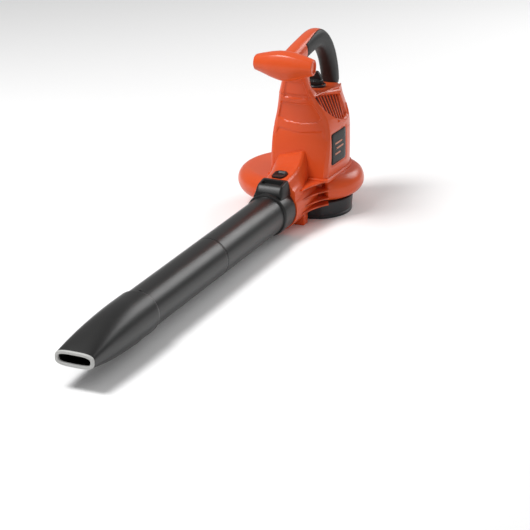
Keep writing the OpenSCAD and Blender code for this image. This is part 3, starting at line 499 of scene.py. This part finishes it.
near_front = np.clip((14 - levels[:, :, 1]) / 58, 0, 1) ** 0.8
slimmer = np.interp(levels[:, :, 2], [190, 208, 222, 236, 260, 272, 296],
    [0, 0.07, 0.18, 0.24, 0.27, 0.30, 0.30])
levels[:, :, 0] *= 1 - slimmer * near_front * (levels[:, :, 0] > 0)
post_back = np.clip((levels[:, :, 1] + 84) / 34, 0, 1) * np.clip((levels[:, :, 2] - 236) / 14, 0, 1)
levels[:, :, 0] *= 1 - 0.42 * post_back * (levels[:, :, 0] > 0)
print("column skin", levels.shape)

# %% Panels, vent pockets, badge seats and screw wells
normals = skin_normals(levels)
outward = np.sign((normals * (levels - levels.mean(axis=(0, 1)))).sum())
normals *= outward
x, y, z = levels[:, :, 0], levels[:, :, 1], levels[:, :, 2]
front_face = (y < -56) & (np.abs(x) < 52)
press = np.zeros(x.shape)
upper = [(-20, 262), (11, 262), (19, 233), (0, 231.5), (-27, 232.5)]
middle_panel = [(-34, 219), (25, 220), (41, 194), (36, 186.5), (3, 181), (-32, 184), (-43, 189)]
lower = [(-48, 60), (48, 60), (52, 152), (42, 168), (0, 163), (-42, 168), (-52, 152)]
press += 2.0 * front_face * patch(x, z, upper, 1.5, 2.0)
press += 2.0 * front_face * patch(x, z, middle_panel, 1.0, 2.0)
press += 1.6 * (y < -50) * patch(x, z, lower, 0.5, 4.0)
on_side = (z < 235.5) & (np.abs(x) > 24) & (y > -70)
pocket = [(-64, 233), (-22, 228), (12, 221), (24, 186), (8, 180), (-24, 190), (-48, 208)]
pocket_mask = on_side * patch(y, z, pocket, 2.0, 2.4)
press += 9.0 * pocket_mask
shoulder = [(-60, 238), (13, 229.5), (15, 226.5), (13, 224.5), (-60, 235)]
press -= 2.6 * on_side * patch(y, z, shoulder, 1.2, 3.0)
lip_line = [(-14, 181), (10, 175.5), (34, 179), (38, 200), (40, 199), (38, 173), (10, 170), (-16, 178)]
press -= 2.2 * on_side * patch(y, z, lip_line, 0.8, 2.6)
joint_line = [(-8, 166), (30, 158), (96, 156), (96, 155.4), (30, 157.4), (-8, 165.4)]
press += 0.9 * on_side * patch(y, z, joint_line, 0.1, 1.3)
badge_seat = [(-50, 100), (19, 100), (19, 164), (-50, 164)]
press += 1.2 * on_side * patch(y, z, badge_seat, 1.0, 1.5)
for by, bz in ((-57, 97), (73, 97), (-52, 169), (67, 169), (58, 210)):
    press += 6.0 * (x < -20) * (np.hypot(y - by, z - bz) < 4.6)
wrap("motor_column", levels - normals * press[:, :, None], "housing",
    "motor_cover_left", "motor_cover_right", finish=orange_shell, slot="orange_plastic")


# %% [markdown]
# ## Vent fins
# Cooling air for the motor is drawn in through a row of upright fins across each
# pocket. A fin is a thin bevelled bar, made as tall as the pocket is at its place.
# A dark sheet closes the pocket behind the fins; its dark red is painted shade for the shadowed inside
# between them.

# %% Vent fins
side_of_skin = levels[levels[:, :, 0] > 20]


def skin_out(y, z):
    near = np.hypot(side_of_skin[:, 1] - y, side_of_skin[:, 2] - z).argsort()[:4]
    return side_of_skin[near, 0].mean()


def pocket_span(y):
    zs = np.linspace(175, 235, 241)
    inside = zs[outline_distance(np.full(zs.shape, y), zs, pocket) < 2.5]
    return inside.min() - 0.5, inside.max() + 0.5


def join_pieces(pieces):
    bpy.ops.object.select_all(action="DESELECT")
    for piece in pieces:
        piece.select_set(True)
    bpy.context.view_layer.objects.active = pieces[0]
    if len(pieces) > 1:
        bpy.ops.object.join()
    return bpy.context.object


def bar_between(corners, edge):
    bpy.ops.object.select_all(action="DESELECT")
    bpy.ops.mesh.primitive_cube_add(size=2)
    bar = bpy.context.object
    for v in bar.data.vertices:
        v.co = [c * mm for c in corners(*[int(t > 0) for t in v.co])]
    bevel = bar.modifiers.new("edge", "BEVEL")
    bevel.width, bevel.segments = edge * mm, 2
    bpy.ops.object.modifier_apply(modifier="edge")
    return bar


for side, name in ((1, "left"), (-1, "right")):
    fins = []
    for y0 in np.arange(-52, 20, 9.4):
        low, high = pocket_span(y0)
        ends = [(y0 + 1.8, low), (y0 - 1.8, high)]
        outs = [skin_out(*e) - 2.2 for e in ends]
        fins.append(bar_between(lambda a, b, c: (side * (outs[c] - 2.0 * (1 - a)),
            ends[c][0] + (3.2 * b - 1.6), ends[c][1]), 0.5))
    fins = join_pieces(fins)
    bpy.ops.object.mode_set(mode="EDIT")
    bpy.ops.mesh.select_all(action="SELECT")
    bpy.ops.mesh.normals_make_consistent(inside=False)
    bpy.ops.object.mode_set(mode="OBJECT")
    dress(fins, "vent_fins_" + name, "housing", "vent_grille_" + name,
        finish=orange_shell, slot="orange_plastic")
    # This dark sheet behind the fins carries painted shade for the dark inside of the pocket.
    centre = np.mean(pocket, axis=0)
    outline = respace(soften(pocket, 6), 72)
    rows = [[(side * (skin_out(*(centre + (p - centre) * k)) - d), *(centre + (p - centre) * k))
        for p in outline] for k, d in ((0.002, 10), (0.6, 10), (1.03, 10), (1.03, 8.2), (0.8, 8.2),
        (0.6, 8.2), (0.4, 8.2), (0.2, 8.2), (0.002, 8.2))]
    wrap("painted_shade_sheet_" + name, rows, "housing", finish=painted_pocket_shade, slot="orange_plastic")

# %% [markdown]
# ## Side badges
# A glossy black plate sits flush in a shallow seat on each side, and so it bends
# with the skin. It is left plain but for three small airflow strokes. A rounded
# outline is drawn flat and then laid on the skin, and the strokes are laid on it.

# %% Side badges
def laid_on_skin(name, outline, side, sink, thick, body_finish):
    centre = outline.mean(axis=0)
    rows = []
    for k, lift in ((0.002, 0), (0.5, 0), (1, 0), (1, thick - 0.25), (0.985, thick),
                    (0.8, thick), (0.6, thick), (0.4, thick), (0.2, thick), (0.002, thick)):
        ring = centre + (outline - centre) * k
        rows.append([(side * (skin_out(*p) - sink + lift), *p) for p in ring])
    return wrap(name, rows, "housing", finish=body_finish, slot="badge_plastic", sharp=30)


for side, name in ((1, "left"), (-1, "right")):
    low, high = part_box("badge_" + name)
    y0, y1, z0, z1 = low.y / mm + 0.6, high.y / mm - 0.6, low.z / mm + 0.6, high.z / mm - 0.6
    plate = laid_on_skin("badge_plate_" + name, soften([(y0, z0), (y1, z0), (y1, z1), (y0, z1)],
        6, steps=9), side, 1.4, 1.3, badge_gloss)
    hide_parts("badge_" + name)
    strokes = [laid_on_skin("stroke", soften([(a, h - 1.7), (b, h - 1.7), (b + 4, h),
        (b, h + 1.7), (a, h + 1.7), (a + 4, h)], 1.0), side, 0.6, 0.7, badge_mark)
        for h, a, b in ((140, -36, -4), (130, -30, 2), (120, -36, -12))]
    dress(join_pieces(strokes), "badge_airflow_" + name, "housing", finish=badge_mark,
        slot="badge_plastic", sharp=30)

# %% [markdown]
# ## Front handle
# The short cross handle is thick in the middle, with a deep belly that the
# fingers close round, and thin at its ends, which are cut off flat and dished.
# A crease runs along its upper front. It is drawn as one soft-cornered section
# that grows and shrinks along the handle.

# %% Front handle
bar_low, bar_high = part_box("front_handle")
bar_reach = (bar_high.x - bar_low.x) / 2 / mm
bar_y, bar_z = -137.0, 308.0
spots = [0, 0.2, 0.45, 0.75, 0.94, 1.0]
bar_half = [20, 20, 19, 16, 14, 13.2]
bar_up = [26, 25.4, 23, 19, 16, 14.6]
bar_down = [31, 29.5, 25.5, 19, 15.5, 14.4]


def bar_section(t):
    s = abs(t)
    d, up, down = (np.interp(s, spots, v) for v in (bar_half, bar_up, bar_down))
    drawn = [(0.15 * d, up), (-0.62 * d, 0.82 * up), (-0.97 * d, 0.30 * up), (-0.98 * d, -0.25 * down),
        (-0.55 * d, -0.80 * down), (0.0, -down), (0.7 * d, -0.78 * down), (d, -0.2 * down),
        (0.98 * d, 0.45 * up), (0.7 * d, 0.86 * up)]
    soft = soften(drawn, [9, 3.2, 9, 12, 11, 10, 10, 12, 10, 9], steps=7)
    return respace(soft, 90)


stops = np.sin(np.linspace(-1, 1, 81) * math.pi / 2)
core = np.array([bar_section(t) for t in stops])
core = blur(core, 4)
rows = []
for t, ring in zip(stops, core):
    ring3 = np.column_stack([np.full(len(ring), t * bar_reach), ring[:, 0] + bar_y, ring[:, 1] + bar_z])
    rows.append(ring3)


def shrunk(ring, gap, x):
    centre = ring.mean(axis=0)
    out = centre + (ring - centre) * (1 - gap / np.linalg.norm(ring - centre, axis=1, keepdims=True))
    out[:, 0] = x
    return out


def dished(ring, s):
    end = s * bar_reach
    return [shrunk(ring, 0.35, end - s * 0.35), shrunk(ring, 1.0, end), shrunk(ring, 3.0, end),
        shrunk(ring, 3.5, end - s * 0.3), shrunk(ring, 3.8, end - s * 1.8),
        shrunk(ring, 4.4, end - s * 2.2), shrunk(ring, 9.0, end - s * 2.2),
        np.repeat([[end - s * 2.2, *ring.mean(axis=0)[1:]]], len(ring), axis=0)]


for ring in rows:
    ring[:, 0] *= 1 - 0.6 / bar_reach
rows = dished(rows[0], -1)[::-1] + rows + dished(rows[-1], 1)
wrap("front_handle_bar", rows, "housing", "front_handle", "front_handle_caps",
    finish=orange_shell, slot="orange_plastic", sharp=32)

# %% [markdown]
# ## Main handle
# The handle is one boxy-round bar bent into a loop, from the front handle over
# the top and down to the back of the column. The orange core shows at the neck
# and as a band that tapers out over the top. The soft grip lies flush round it.
# Both are wrapped on the same bent line, so the gap between them stays even.

# %% The bent line of the handle
bend = np.array([(-131, 306), (-117, 309), (-98, 313), (-76, 317.5), (-60, 320), (-45, 322.5),
    (-22, 326), (0, 327), (20, 322.5), (38, 312), (53, 298), (66, 280), (75, 261), (81, 244),
    (83.5, 223)], float)
fine = respace(bend, 150, closed=False)
fine = blur(fine, 22)
fine[0], fine[-1] = bend[0], bend[-1]
along = np.gradient(fine, axis=0)
along /= np.linalg.norm(along, axis=1, keepdims=True)
out_dir = np.column_stack([-along[:, 1], along[:, 0]])
run = np.r_[0, np.cumsum(np.linalg.norm(np.diff(fine, axis=0), axis=1))]
apex = int(np.argmax(fine[:, 1]))
print("handle line is", round(run[-1]), "mm long")
lobe = lambda v: np.sign(v) * np.abs(v) ** 0.80


def handle_ring(k, angles, inset):
    a = np.radians(angles)
    w, t = 16 - inset, 18.5 - inset
    rise = t * lobe(np.cos(a))
    return np.column_stack([w * lobe(np.sin(a)), fine[k, 0] + out_dir[k, 0] * rise,
        fine[k, 1] + out_dir[k, 1] * rise])


grip_from = int(np.argmin(np.abs(fine[:, 0] + 66) + 1000 * (np.arange(150) > apex)))
band = np.interp(run - run[grip_from], [0, 20, 45, 67, 88, 104], [52, 46, 36, 26, 12, 0])
print("grip starts at level", grip_from)

# %% Orange core of the handle
circle = np.linspace(0, 360, 121)[:-1]
rows = []
for k in range(150):
    from_top = np.abs((circle + 180) % 360 - 180)
    under_grip = np.clip((from_top - band[k] + 1.4) / 1.0, 0, 1)
    under_grip = under_grip * np.clip((run[k] - run[grip_from] + 0.8) / 0.8, 0, 1)
    rows.append(handle_ring(k, circle, 0.15 + 1.6 * under_grip))
rows = [np.repeat(rows[0].mean(axis=0)[None], 120, axis=0)] + rows \
    + [np.repeat(rows[-1].mean(axis=0)[None], 120, axis=0)]
wrap("handle_core", rows, "housing", "handle_left", "handle_right",
    finish=orange_shell, slot="orange_plastic", sharp=40)

# %% Soft grip
rows = []
for n, k in enumerate(range(grip_from, 150)):
    end_gap = {0: 0.9, 1: 0.25}.get(n, 0.0) + {149: 0.9, 148: 0.25}.get(k, 0.0)
    start = max(band[k], 0.35)
    swing = np.linspace(start, 360 - start, 89)
    rim = np.minimum(np.abs(swing - start), np.abs(360 - start - swing)) * math.pi / 180 * 17
    inset = np.clip(0.9 * (1 - rim / 1.3), 0, 0.9) ** 1.3
    outer = np.array([handle_ring(k, [a], i + end_gap)[0] for a, i in zip(swing, inset)])
    inner = handle_ring(k, swing[::-1], 2.4)
    rows.append(np.vstack([outer, inner]))
half = len(rows[0]) // 2


def closing(ring):
    flat = ring.copy()
    flat[:half] = ring[half:][::-1]
    return flat


rows = [closing(rows[0])] + rows + [closing(rows[-1])]
wrap("soft_grip", rows, "housing", "handle_grip", finish=grip_rubber, slot="grip_rubber", sharp=40)

# %% [markdown]
# ## Fan housing
# The fan throws air into a spiral casing, a fat ring with a fully round rim. Its
# outline is two arcs: a wide one round the left and back, and a tighter one on
# the right that ends in a blunt nose beside the outlet. One section, outside and
# inside wall together, is carried round that outline, so the casing is hollow.

# %% Outline of the casing
wide_centre, wide_arc = np.array([-22.0, 0.0]), 120.8
tight_centre, tight_arc = np.array([-6.0, 15.0]), 97.9


def reach(angle, centre, radius):
    ahead = np.array([math.cos(angle), math.sin(angle)])
    d = ahead @ centre
    return d + math.sqrt(d * d - centre @ centre + radius * radius)


turns = np.radians(np.r_[np.arange(-50, 260, 1.0), np.arange(260, 310, 0.5)])
outline = []
for a in turns:
    deg = math.degrees(a)
    outline.append(reach(a, tight_centre, tight_arc) if deg < 43 else reach(a, wide_centre, wide_arc))
outline = np.array(outline)
degrees_round = np.degrees(turns)
notch = np.clip((degrees_round - 271) / 5, 0, 1)
outline = outline * (1 - notch) + 66 * notch
for _ in range(6):
    outline = (np.roll(outline, 1) + 2 * outline + np.roll(outline, -1)) / 4
print("casing reaches", round(outline.min()), "to", round(outline.max()), "mm")

# %% Casing
rim, wall, middle_z = 24.0, 2.5, 55.0


def casing_profile(r):
    r = max(r, 62)
    edge = min(rim, max(8.0, (r - 60) * 1.5)) if r < 76 else rim
    arc = np.linspace(math.pi / 2, -math.pi / 2, 33)
    outer = [(q, middle_z + rim) for q in np.linspace(17, r - edge - 1, 12)] \
        + [(r - edge + edge * math.cos(t), middle_z + rim * math.sin(t)) for t in arc] \
        + [(q, middle_z - rim) for q in np.linspace(r - edge - 1, 48, 8)]
    i = edge - wall
    inner = [(q, middle_z - rim + wall) for q in np.linspace(48, r - edge - 1, 8)] \
        + [(r - edge + i * math.cos(t), middle_z + (rim - wall) * math.sin(t)) for t in arc[::-2]] \
        + [(q, middle_z + rim - wall) for q in np.linspace(r - edge - 1, 17, 8)]
    return outer + inner


rows = [[(q * math.cos(a), q * math.sin(a), h) for q, h in casing_profile(r)]
    for a, r in zip(turns, outline)]
rows.append(rows[0])
wrap("fan_casing", rows, "housing", "fan_housing_top", "fan_housing_bottom",
    finish=orange_shell, slot="orange_plastic", sharp=40)

# %% Screw lugs at the back of the casing
lugs = []
for a in map(math.radians, (70, 100, 130)):
    bpy.ops.mesh.primitive_cylinder_add(vertices=48, radius=4.9 * mm, depth=18 * mm,
        location=((122.4 * math.cos(a) - 22) * mm, 122.4 * math.sin(a) * mm, 55 * mm))
    lugs.append(bpy.context.object)
    bevel = lugs[-1].modifiers.new("edge", "BEVEL")
    bevel.width, bevel.segments = 0.6 * mm, 2
    bpy.ops.object.modifier_apply(modifier="edge")
dress(join_pieces(lugs), "casing_lugs", "housing", finish=orange_shell, slot="orange_plastic", sharp=35)

# %% [markdown]
# ## Outlet duct, ramp and webs
# The outlet is a round duct. A ramp runs up its top from the tube joint to the
# column and carries the release button, so it has a well for it. Thin curved
# webs stiffen the corner between the duct and the nose of the casing, and a foot
# under the duct keeps the machine level.

# %% Outlet duct
duct_x, duct_z, duct_mouth = -4.0, 47.0, -165.0
profile = [(42, -66), (42, -120), (42, duct_mouth + 6), (42.0, duct_mouth + 1), (41.6, duct_mouth + 0.2),
    (38.6, duct_mouth + 0.2), (38.6, duct_mouth + 30), (38.6, -90), (38.6, -66)]
wrap("outlet_duct", turned(profile, 128, "Y", (duct_x, duct_z)), "housing",
    finish=orange_shell, slot="orange_plastic", sharp=30)

# %% Ramp with its button well
ramp_rows = []
ramp_y = np.linspace(duct_mouth + 0.2, -62, 105)
for y_at in ramp_y:
    top = np.interp(y_at, [-165, -150, -128, -112, -98, -88, -80, -72, -62],
        [103.5, 105.6, 108.6, 111.6, 116.5, 121.8, 127.2, 131, 131])
    left = np.interp(y_at, [-165, -128, -90, -62], [-27, -33, -42, -46])
    lean = np.interp(y_at, [-150, -110, -80], [0.0, 6.0, 13.0])
    right = np.interp(y_at, [-165, -128, -100, -75, -62], [17, 16, 14, 9.5, 9])
    wide = np.interp(y_at, [-165, -128, -90, -62], [34, 33, 24, 20])
    drawn = [(left, 60), (left - 6, 84), (left + 4, top - 1.0 - lean), (right, top), (right + 4.5, top - 4.0),
        (right + 4.5 + (wide - right - 4.5) * 0.45, top - 16), (wide, 82), (wide, 60)]
    ring = soften(drawn, [2, 14, 7, 1.6, 2.0, 8, 6, 2], steps=8)
    ring = respace(ring, 180)
    ramp_rows.append(np.column_stack([ring[:, 0], np.full(len(ring), y_at), ring[:, 1]]))
ramp_rows = np.array(ramp_rows)
ramp_rows = blur(ramp_rows, 3)
ramp_rows[0, :, 1] = duct_mouth + 0.2
u, v, h = ramp_rows[:, :, 0], ramp_rows[:, :, 1], ramp_rows[:, :, 2]
well = patch(u, v, [(-16.3, -152), (-11.3, -161), (3.3, -161), (8.3, -152), (8.3, -141), (3.3, -132.5),
    (-11.3, -132.5), (-16.3, -141)], 1.1, 1.2) * (h > 95)
ramp_rows[:, :, 2] -= 8.5 * well
first, last = ramp_rows[0], ramp_rows[-1]
front_lip = first.copy()
front_lip[:, 0] = duct_x + (first[:, 0] - duct_x) * 0.985
front_lip[:, 2] = 80 + (first[:, 2] - 80) * 0.97
front_lip[:, 1] = duct_mouth
rows = [np.repeat(front_lip.mean(axis=0)[None], 180, axis=0), front_lip, *ramp_rows,
    np.repeat(last.mean(axis=0)[None], 180, axis=0)]
wrap("duct_ramp", rows, "housing", finish=orange_shell, slot="orange_plastic", sharp=34)

# %% Webs between duct and casing
def slab(name, outline, low, high, body, finish, slot, edge=0.5):
    outline = np.array(outline, float)
    inset = [shrunk(np.column_stack([np.zeros(len(outline)), outline]), edge, 0)[:, 1:], outline]
    centre = np.repeat(outline.mean(axis=0)[None], len(outline), axis=0)
    rows = [np.column_stack([p, np.full(len(p), h)]) for p, h in ((centre, low), (inset[0], low),
        (outline, low + edge), (outline, high - edge), (inset[0], high), (centre, high))]
    return wrap(name, rows, body, finish=finish, slot=slot, sharp=35)


webs = []
t = np.linspace(0, 1, 22)[:, None]
start, pull, end = np.array([36.5, -136.0]), np.array([41.0, -92.0]), np.array([60.0, -66.0])
sweep = (1 - t) ** 2 * start + 2 * t * (1 - t) * pull + t * t * end
for low, high, grow in ((31, 33.6, 0), (42.5, 45, 0), (57.5, 60, 0), (76.2, 79, 1)):
    drawn = np.vstack([sweep + (0, -2 * grow), [[52, -50], [20, -60], [20, -128]]])
    webs.append(slab("web", drawn, low, high, "housing", orange_shell, "orange_plastic"))
dress(join_pieces(webs), "duct_webs", "housing", finish=orange_shell, slot="orange_plastic", sharp=35)

# %% Foot under the duct
foot = soften([(-37, -108), (28.6, -108), (28.6, -90), (-37, -90)], 3.0)
slab("duct_foot", foot, 0, 34, "housing", orange_shell, "orange_plastic", edge=1.2)

# %% Flange where the column meets the casing
base = column_section(*body_rows[0][1:])
middle = np.array([0, 8])
rows = [np.column_stack([middle + (base - middle) * k, np.full(len(base), h)]) for k, h in
    ((0.9, 76), (1.06, 76), (1.062, 79.6), (1.055, 81.4), (1.035, 82.2), (0.9, 82.2))]
rows.append(rows[0])
rows = np.array(rows)
rows[:, :, 1] = np.maximum(rows[:, :, 1], -79.5)
wrap("column_flange", rows, "housing", finish=orange_shell, slot="orange_plastic", sharp=40)

# %% [markdown]
# ## Inlet ring
# The machine stands on a black ring round the air inlet, closed by a grille. Its
# front is cut to a flat. The profile is turned round the fan axis and the flat is
# then pressed in from outside.

# %% Inlet ring
profile = [(72, 0.4), (72.4, 0), (75.4, 0), (76, 0.6), (76, 4.8), (75.0, 5.6), (75.0, 6.4),
    (75.6, 7.2), (76.2, 16), (77.2, 30.4), (76.8, 31), (61, 31), (60.5, 30.4), (60.5, 28), (72.8, 28),
    (73, 27), (73, 9), (72, 8)]
ring = turned(profile, 180, "Z")
angle = np.degrees(np.arctan2(ring[:, :, 1], ring[:, :, 0]))
radius = np.hypot(ring[:, :, 0], ring[:, :, 1])
flat_to = 72.6 / np.cos(np.radians(np.clip(angle + 72.6, -30, 30)))
cut = np.where((radius > 74) & (np.abs(angle + 72.6) < 30), np.minimum(radius, flat_to + radius - 76), radius)
ring[:, :, :2] *= (cut / radius)[:, :, None]
wrap("inlet_ring_wall", ring, "housing", "inlet_ring", finish=ring_plastic, slot="black_plastic", sharp=32)

# %% [markdown]
# ## Controls
# The speed dial is a round knob with a raised fin to turn it by, on a dark ring
# seat. The release button is an eight-sided pad with a thumb scoop.

# %% Speed dial
dial_x, dial_y, dial_z = 0.0, 12.0, 237.0
profile = [(4, dial_z - 10), (4, dial_z), (12.6, dial_z), (13.6, dial_z + 0.6), (14, dial_z + 1.6),
    (14, dial_z + 6), (13.4, dial_z + 8), (11.5, dial_z + 9.4), (7, dial_z + 10.4), (0.01, dial_z + 10.8),
    (0.01, dial_z - 10)]
knob = turned(profile, 144, "Z", (dial_x, dial_y))
around = np.arctan2(knob[:, :, 1] - dial_y, knob[:, :, 0] - dial_x)
ridge = 1 - 0.035 * np.clip(np.cos(around * 24) * 2, 0, 1) * (knob[:, :, 2] > dial_z + 1) \
    * (knob[:, :, 2] < dial_z + 8.4)
knob[:, :, 0] = dial_x + (knob[:, :, 0] - dial_x) * ridge
knob[:, :, 1] = dial_y + (knob[:, :, 1] - dial_y) * ridge
wrap("dial_knob", knob, "power_dial", "power_dial", finish=black_trim,
    slot="black_plastic", sharp=35)
fin_rows = []
for y_off, shrink in ((-4, 0.0), (-4, 0.9), (-3.3, 0.98), (-2.5, 1), (2.5, 1), (3.3, 0.98),
                     (4, 0.9), (4, 0.0)):
    side_view = soften([(-12.6, 7), (12.6, 7), (11.6, 12), (4.5, 24.8), (-6.5, 24.8), (-12.2, 12)], 3.2)
    mid = np.array([0, 14])
    drawn_in = mid + (side_view - mid) * max(shrink, 0.001)
    fin_rows.append([(dial_x + p[0], dial_y + y_off, dial_z + p[1]) for p in drawn_in])
wrap("dial_fin", fin_rows, "power_dial", finish=black_trim, slot="black_plastic", sharp=35)
seat = [(15, 234), (18.6, 234), (18.6, 236.6), (17.8, 237.6), (15.4, 237.6), (15, 237)]
wrap("dial_seat", turned(seat, 96, "Z", (dial_x, dial_y)), "housing", finish=ring_plastic,
    slot="black_plastic", sharp=35)

# %% Release button
pad = np.array([(-12.3, -8.6), (-6.6, -14.3), (6.6, -14.3), (12.3, -8.6), (12.3, 8.6), (6.6, 14.3),
    (-6.6, 14.3), (-12.3, 8.6)])
pad_line = respace(soften(pad, 1.6), 96)
rows = []
for k, h in ((0.001, -2.0), (0.95, -2.0), (0.98, -1.6), (0.98, 0.2), (0.975, 0.8), (0.94, 1.0), *((q, 1.0)
        for q in np.linspace(0.9, 0.02, 18))):
    ring = pad_line * k
    rows.append([(p[0], p[1], h) for p in ring])
rows = np.array(rows)
scoop = patch(rows[:, :, 0], rows[:, :, 1], [(-6.2, -7), (6.2, -7), (6.2, 8), (-6.2, 8)], 1.6, 4.0)
rows[6:, :, 2] -= (3.0 * scoop * np.clip((rows[:, :, 1] + 9) / 14, 0.25, 1))[6:]
lean = math.radians(8)
tilted = np.stack([rows[:, :, 0] + duct_x,
    -147 + rows[:, :, 1] * math.cos(lean) - rows[:, :, 2] * math.sin(lean),
    107 + rows[:, :, 1] * math.sin(lean) + rows[:, :, 2] * math.cos(lean)], axis=2)
wrap("thumb_button", tilted, "release_button", "release_button", finish=black_trim,
    slot="black_plastic", sharp=30)

# %% [markdown]
# ## Tube collar
# The collar slides over the duct's spigot and carries the catch in a raised box.
# The box has a window with a ledge in it. The collar is turned; the box is drawn
# as a tapering section along the tube, and the window is pressed into its top.

# %% Collar and its spigot
profile = [(38.4, -145.5), (38.4, -165.3), (39.4, -165.5), (40, -166.2), (40, -180), (40, -205.5),
    (39.7, -207.8), (38.6, -209.6), (36.5, -210.6), (36.25, -210.4), (36.25, -196), (34.4, -195),
    (34.4, -145.5), (36, -145.0)]
wrap("collar_ring", turned(profile, 144, "Y", (duct_x, duct_z)), "tube", "tube_collar",
    finish=black_tube, slot="black_plastic", sharp=30)
box_rows = []
for y_at, top in ((-165.6, 102.6), (-166.4, 103.4), (-172, 103.2), *((y, 103.2 + (y + 172) * 0.17)
        for y in np.linspace(-173, -190, 22)), (-192, 99.2), (-195, 97.2), (-198, 93.6),
        (-201, 89.4), (-203.5, 85)):
    ends = np.interp(y_at, [-203.5, -192, -165.6], [0.94, 0.97, 1])
    drawn = [(-28, 74), (-29, 80), (-24.5, top), (24.5, top), (29, 80), (28, 74)]
    ring = respace(soften([(a * ends, b) for a, b in drawn], [2, 6, 3.2, 3.2, 6, 2], steps=8), 160)
    box_rows.append(np.column_stack([ring[:, 0] + duct_x, np.full(160, y_at), ring[:, 1]]))
box_rows = np.array(box_rows)
window = patch(box_rows[:, :, 0], box_rows[:, :, 1], [(duct_x - 17, -187.5), (duct_x + 17, -187.5),
    (duct_x + 17, -175), (duct_x - 17, -175)], 1.4, 1.4) * (box_rows[:, :, 2] > 94)
ledge = patch(box_rows[:, :, 0], box_rows[:, :, 1], [(duct_x - 14, -187), (duct_x + 14, -187),
    (duct_x + 14, -181.5), (duct_x - 14, -181.5)], 0.8, 1.4)
box_rows[:, :, 2] -= window * (7.5 - 4.5 * ledge)
rows = [np.repeat(box_rows[0].mean(axis=0)[None], 160, axis=0), *box_rows,
    np.repeat(box_rows[-1].mean(axis=0)[None], 160, axis=0)]
wrap("catch_box", rows, "tube", finish=black_trim, slot="black_plastic", sharp=32)

# %% [markdown]
# ## Blow tube and nozzle
# The tube tapers very slightly and carries a fine double ring near its middle.
# The nozzle slips over its end and flattens into a slot with a pale soft lip.

# %% Blow tube
tube_rows = [(36.1, -196.5)]
for y_at in np.r_[np.linspace(-210, -442, 30), -443.6, -444.2, -444.8, -446.2, -446.8, -447.4,
                  np.linspace(-449, -744, 36)]:
    r = np.interp(-y_at, [210, 715], [36.1, 34.7])
    tube_rows.append((r - (0.28 if y_at in (-444.2, -446.8) else 0), y_at))
tube_rows += [(32.9, -744), (32.9, -450), (32.9, -196.5)]
wrap("blow_tube_skin", turned(tube_rows, 128, "Y", (duct_x, duct_z)), "tube", "blow_tube",
    finish=black_tube, slot="black_plastic", sharp=40)

# %% Nozzle
def mouth_section(t, wide, tall, r, angles):
    k = 1 - t * t
    n = 0.6 + 0.4 * k
    c, s = np.cos(angles), np.sin(angles)
    return np.column_stack([(wide + (r - wide) * k) * np.sign(c) * np.abs(c) ** n,
        (tall + (r - tall) * k) * np.sign(s) * np.abs(s) ** n])


around = np.linspace(0, 2 * math.pi, 145)[:-1]
tube_end, mouth = -745.0, -905.0
rows = []
rear = -706 + 37 * np.cos(around) * math.tan(math.radians(8))
for back, r in ((0, 34.85), (0, 36.4), (-0.5, 37.1), (-1.4, 37.45), (-6, 37.45), (-14, 37.4)):
    rows.append(np.column_stack([r * np.cos(around), rear + back, r * np.sin(around)]))
shell_from, shell_to = tube_end + 1.6, mouth + 4.5
for t in np.linspace(0, 1, 64):
    sec = mouth_section(t, 32.5, 12.5, 37.35, around)
    y_at = shell_from + (shell_to - shell_from) * t
    rows.append(np.column_stack([sec[:, 0], np.full(144, y_at), sec[:, 1]]))
for t in np.linspace(1, 0, 20):
    sec = mouth_section(t, 27.3, 7.3, 32.9, around)
    y_at = shell_from + (shell_to - shell_from) * t
    rows.append(np.column_stack([sec[:, 0], np.full(144, y_at), sec[:, 1]]))
rows.append(np.column_stack([34.85 * np.cos(around), np.full(144, shell_from),
    34.85 * np.sin(around)]))
rows.append(rows[0])
rows = np.array(rows) + (duct_x, 0, duct_z)
wrap("nozzle_shell", rows, "nozzle", "nozzle", finish=black_tube, slot="black_plastic", sharp=40)

# %% Nozzle lip
rows = []
for w, h, y_at in ((27.3, 7.3, -900.4), (32.2, 12.2, -900.4), (32.5, 12.5, -901), (32.5, 12.5, -903.2),
        (32.1, 12.1, -904.4), (31.2, 11.2, -905), (28.6, 8.6, -905), (27.7, 7.7, -904.6),
        (27.3, 7.3, -903.8)):
    sec = mouth_section(1, w, h, 1, around)
    rows.append(np.column_stack([sec[:, 0] + duct_x, np.full(144, y_at), sec[:, 1] + duct_z]))
rows.append(rows[0])
wrap("nozzle_rim", rows, "nozzle", "nozzle_lip", finish=lip_grey, slot="lip_plastic", sharp=40)

# %% Locking stud on the tube
stud = turned([(0.01, 34), (3.0, 34), (3.0, 36.0), (2.3, 37.4), (1.2, 38.0), (0.01, 38.1)], 32, "Z")
stud = stud.reshape(33, 6, 3) + (duct_x + 4, -702, duct_z)
wrap("locking_stud", stud, "tube", finish=black_trim, slot="black_plastic", sharp=40, closed=False)

skin_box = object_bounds()
for title, box in (("cad", cad_box), ("visual", skin_box)):
    print(title, [[round(c, 4) for c in v] for v in box])
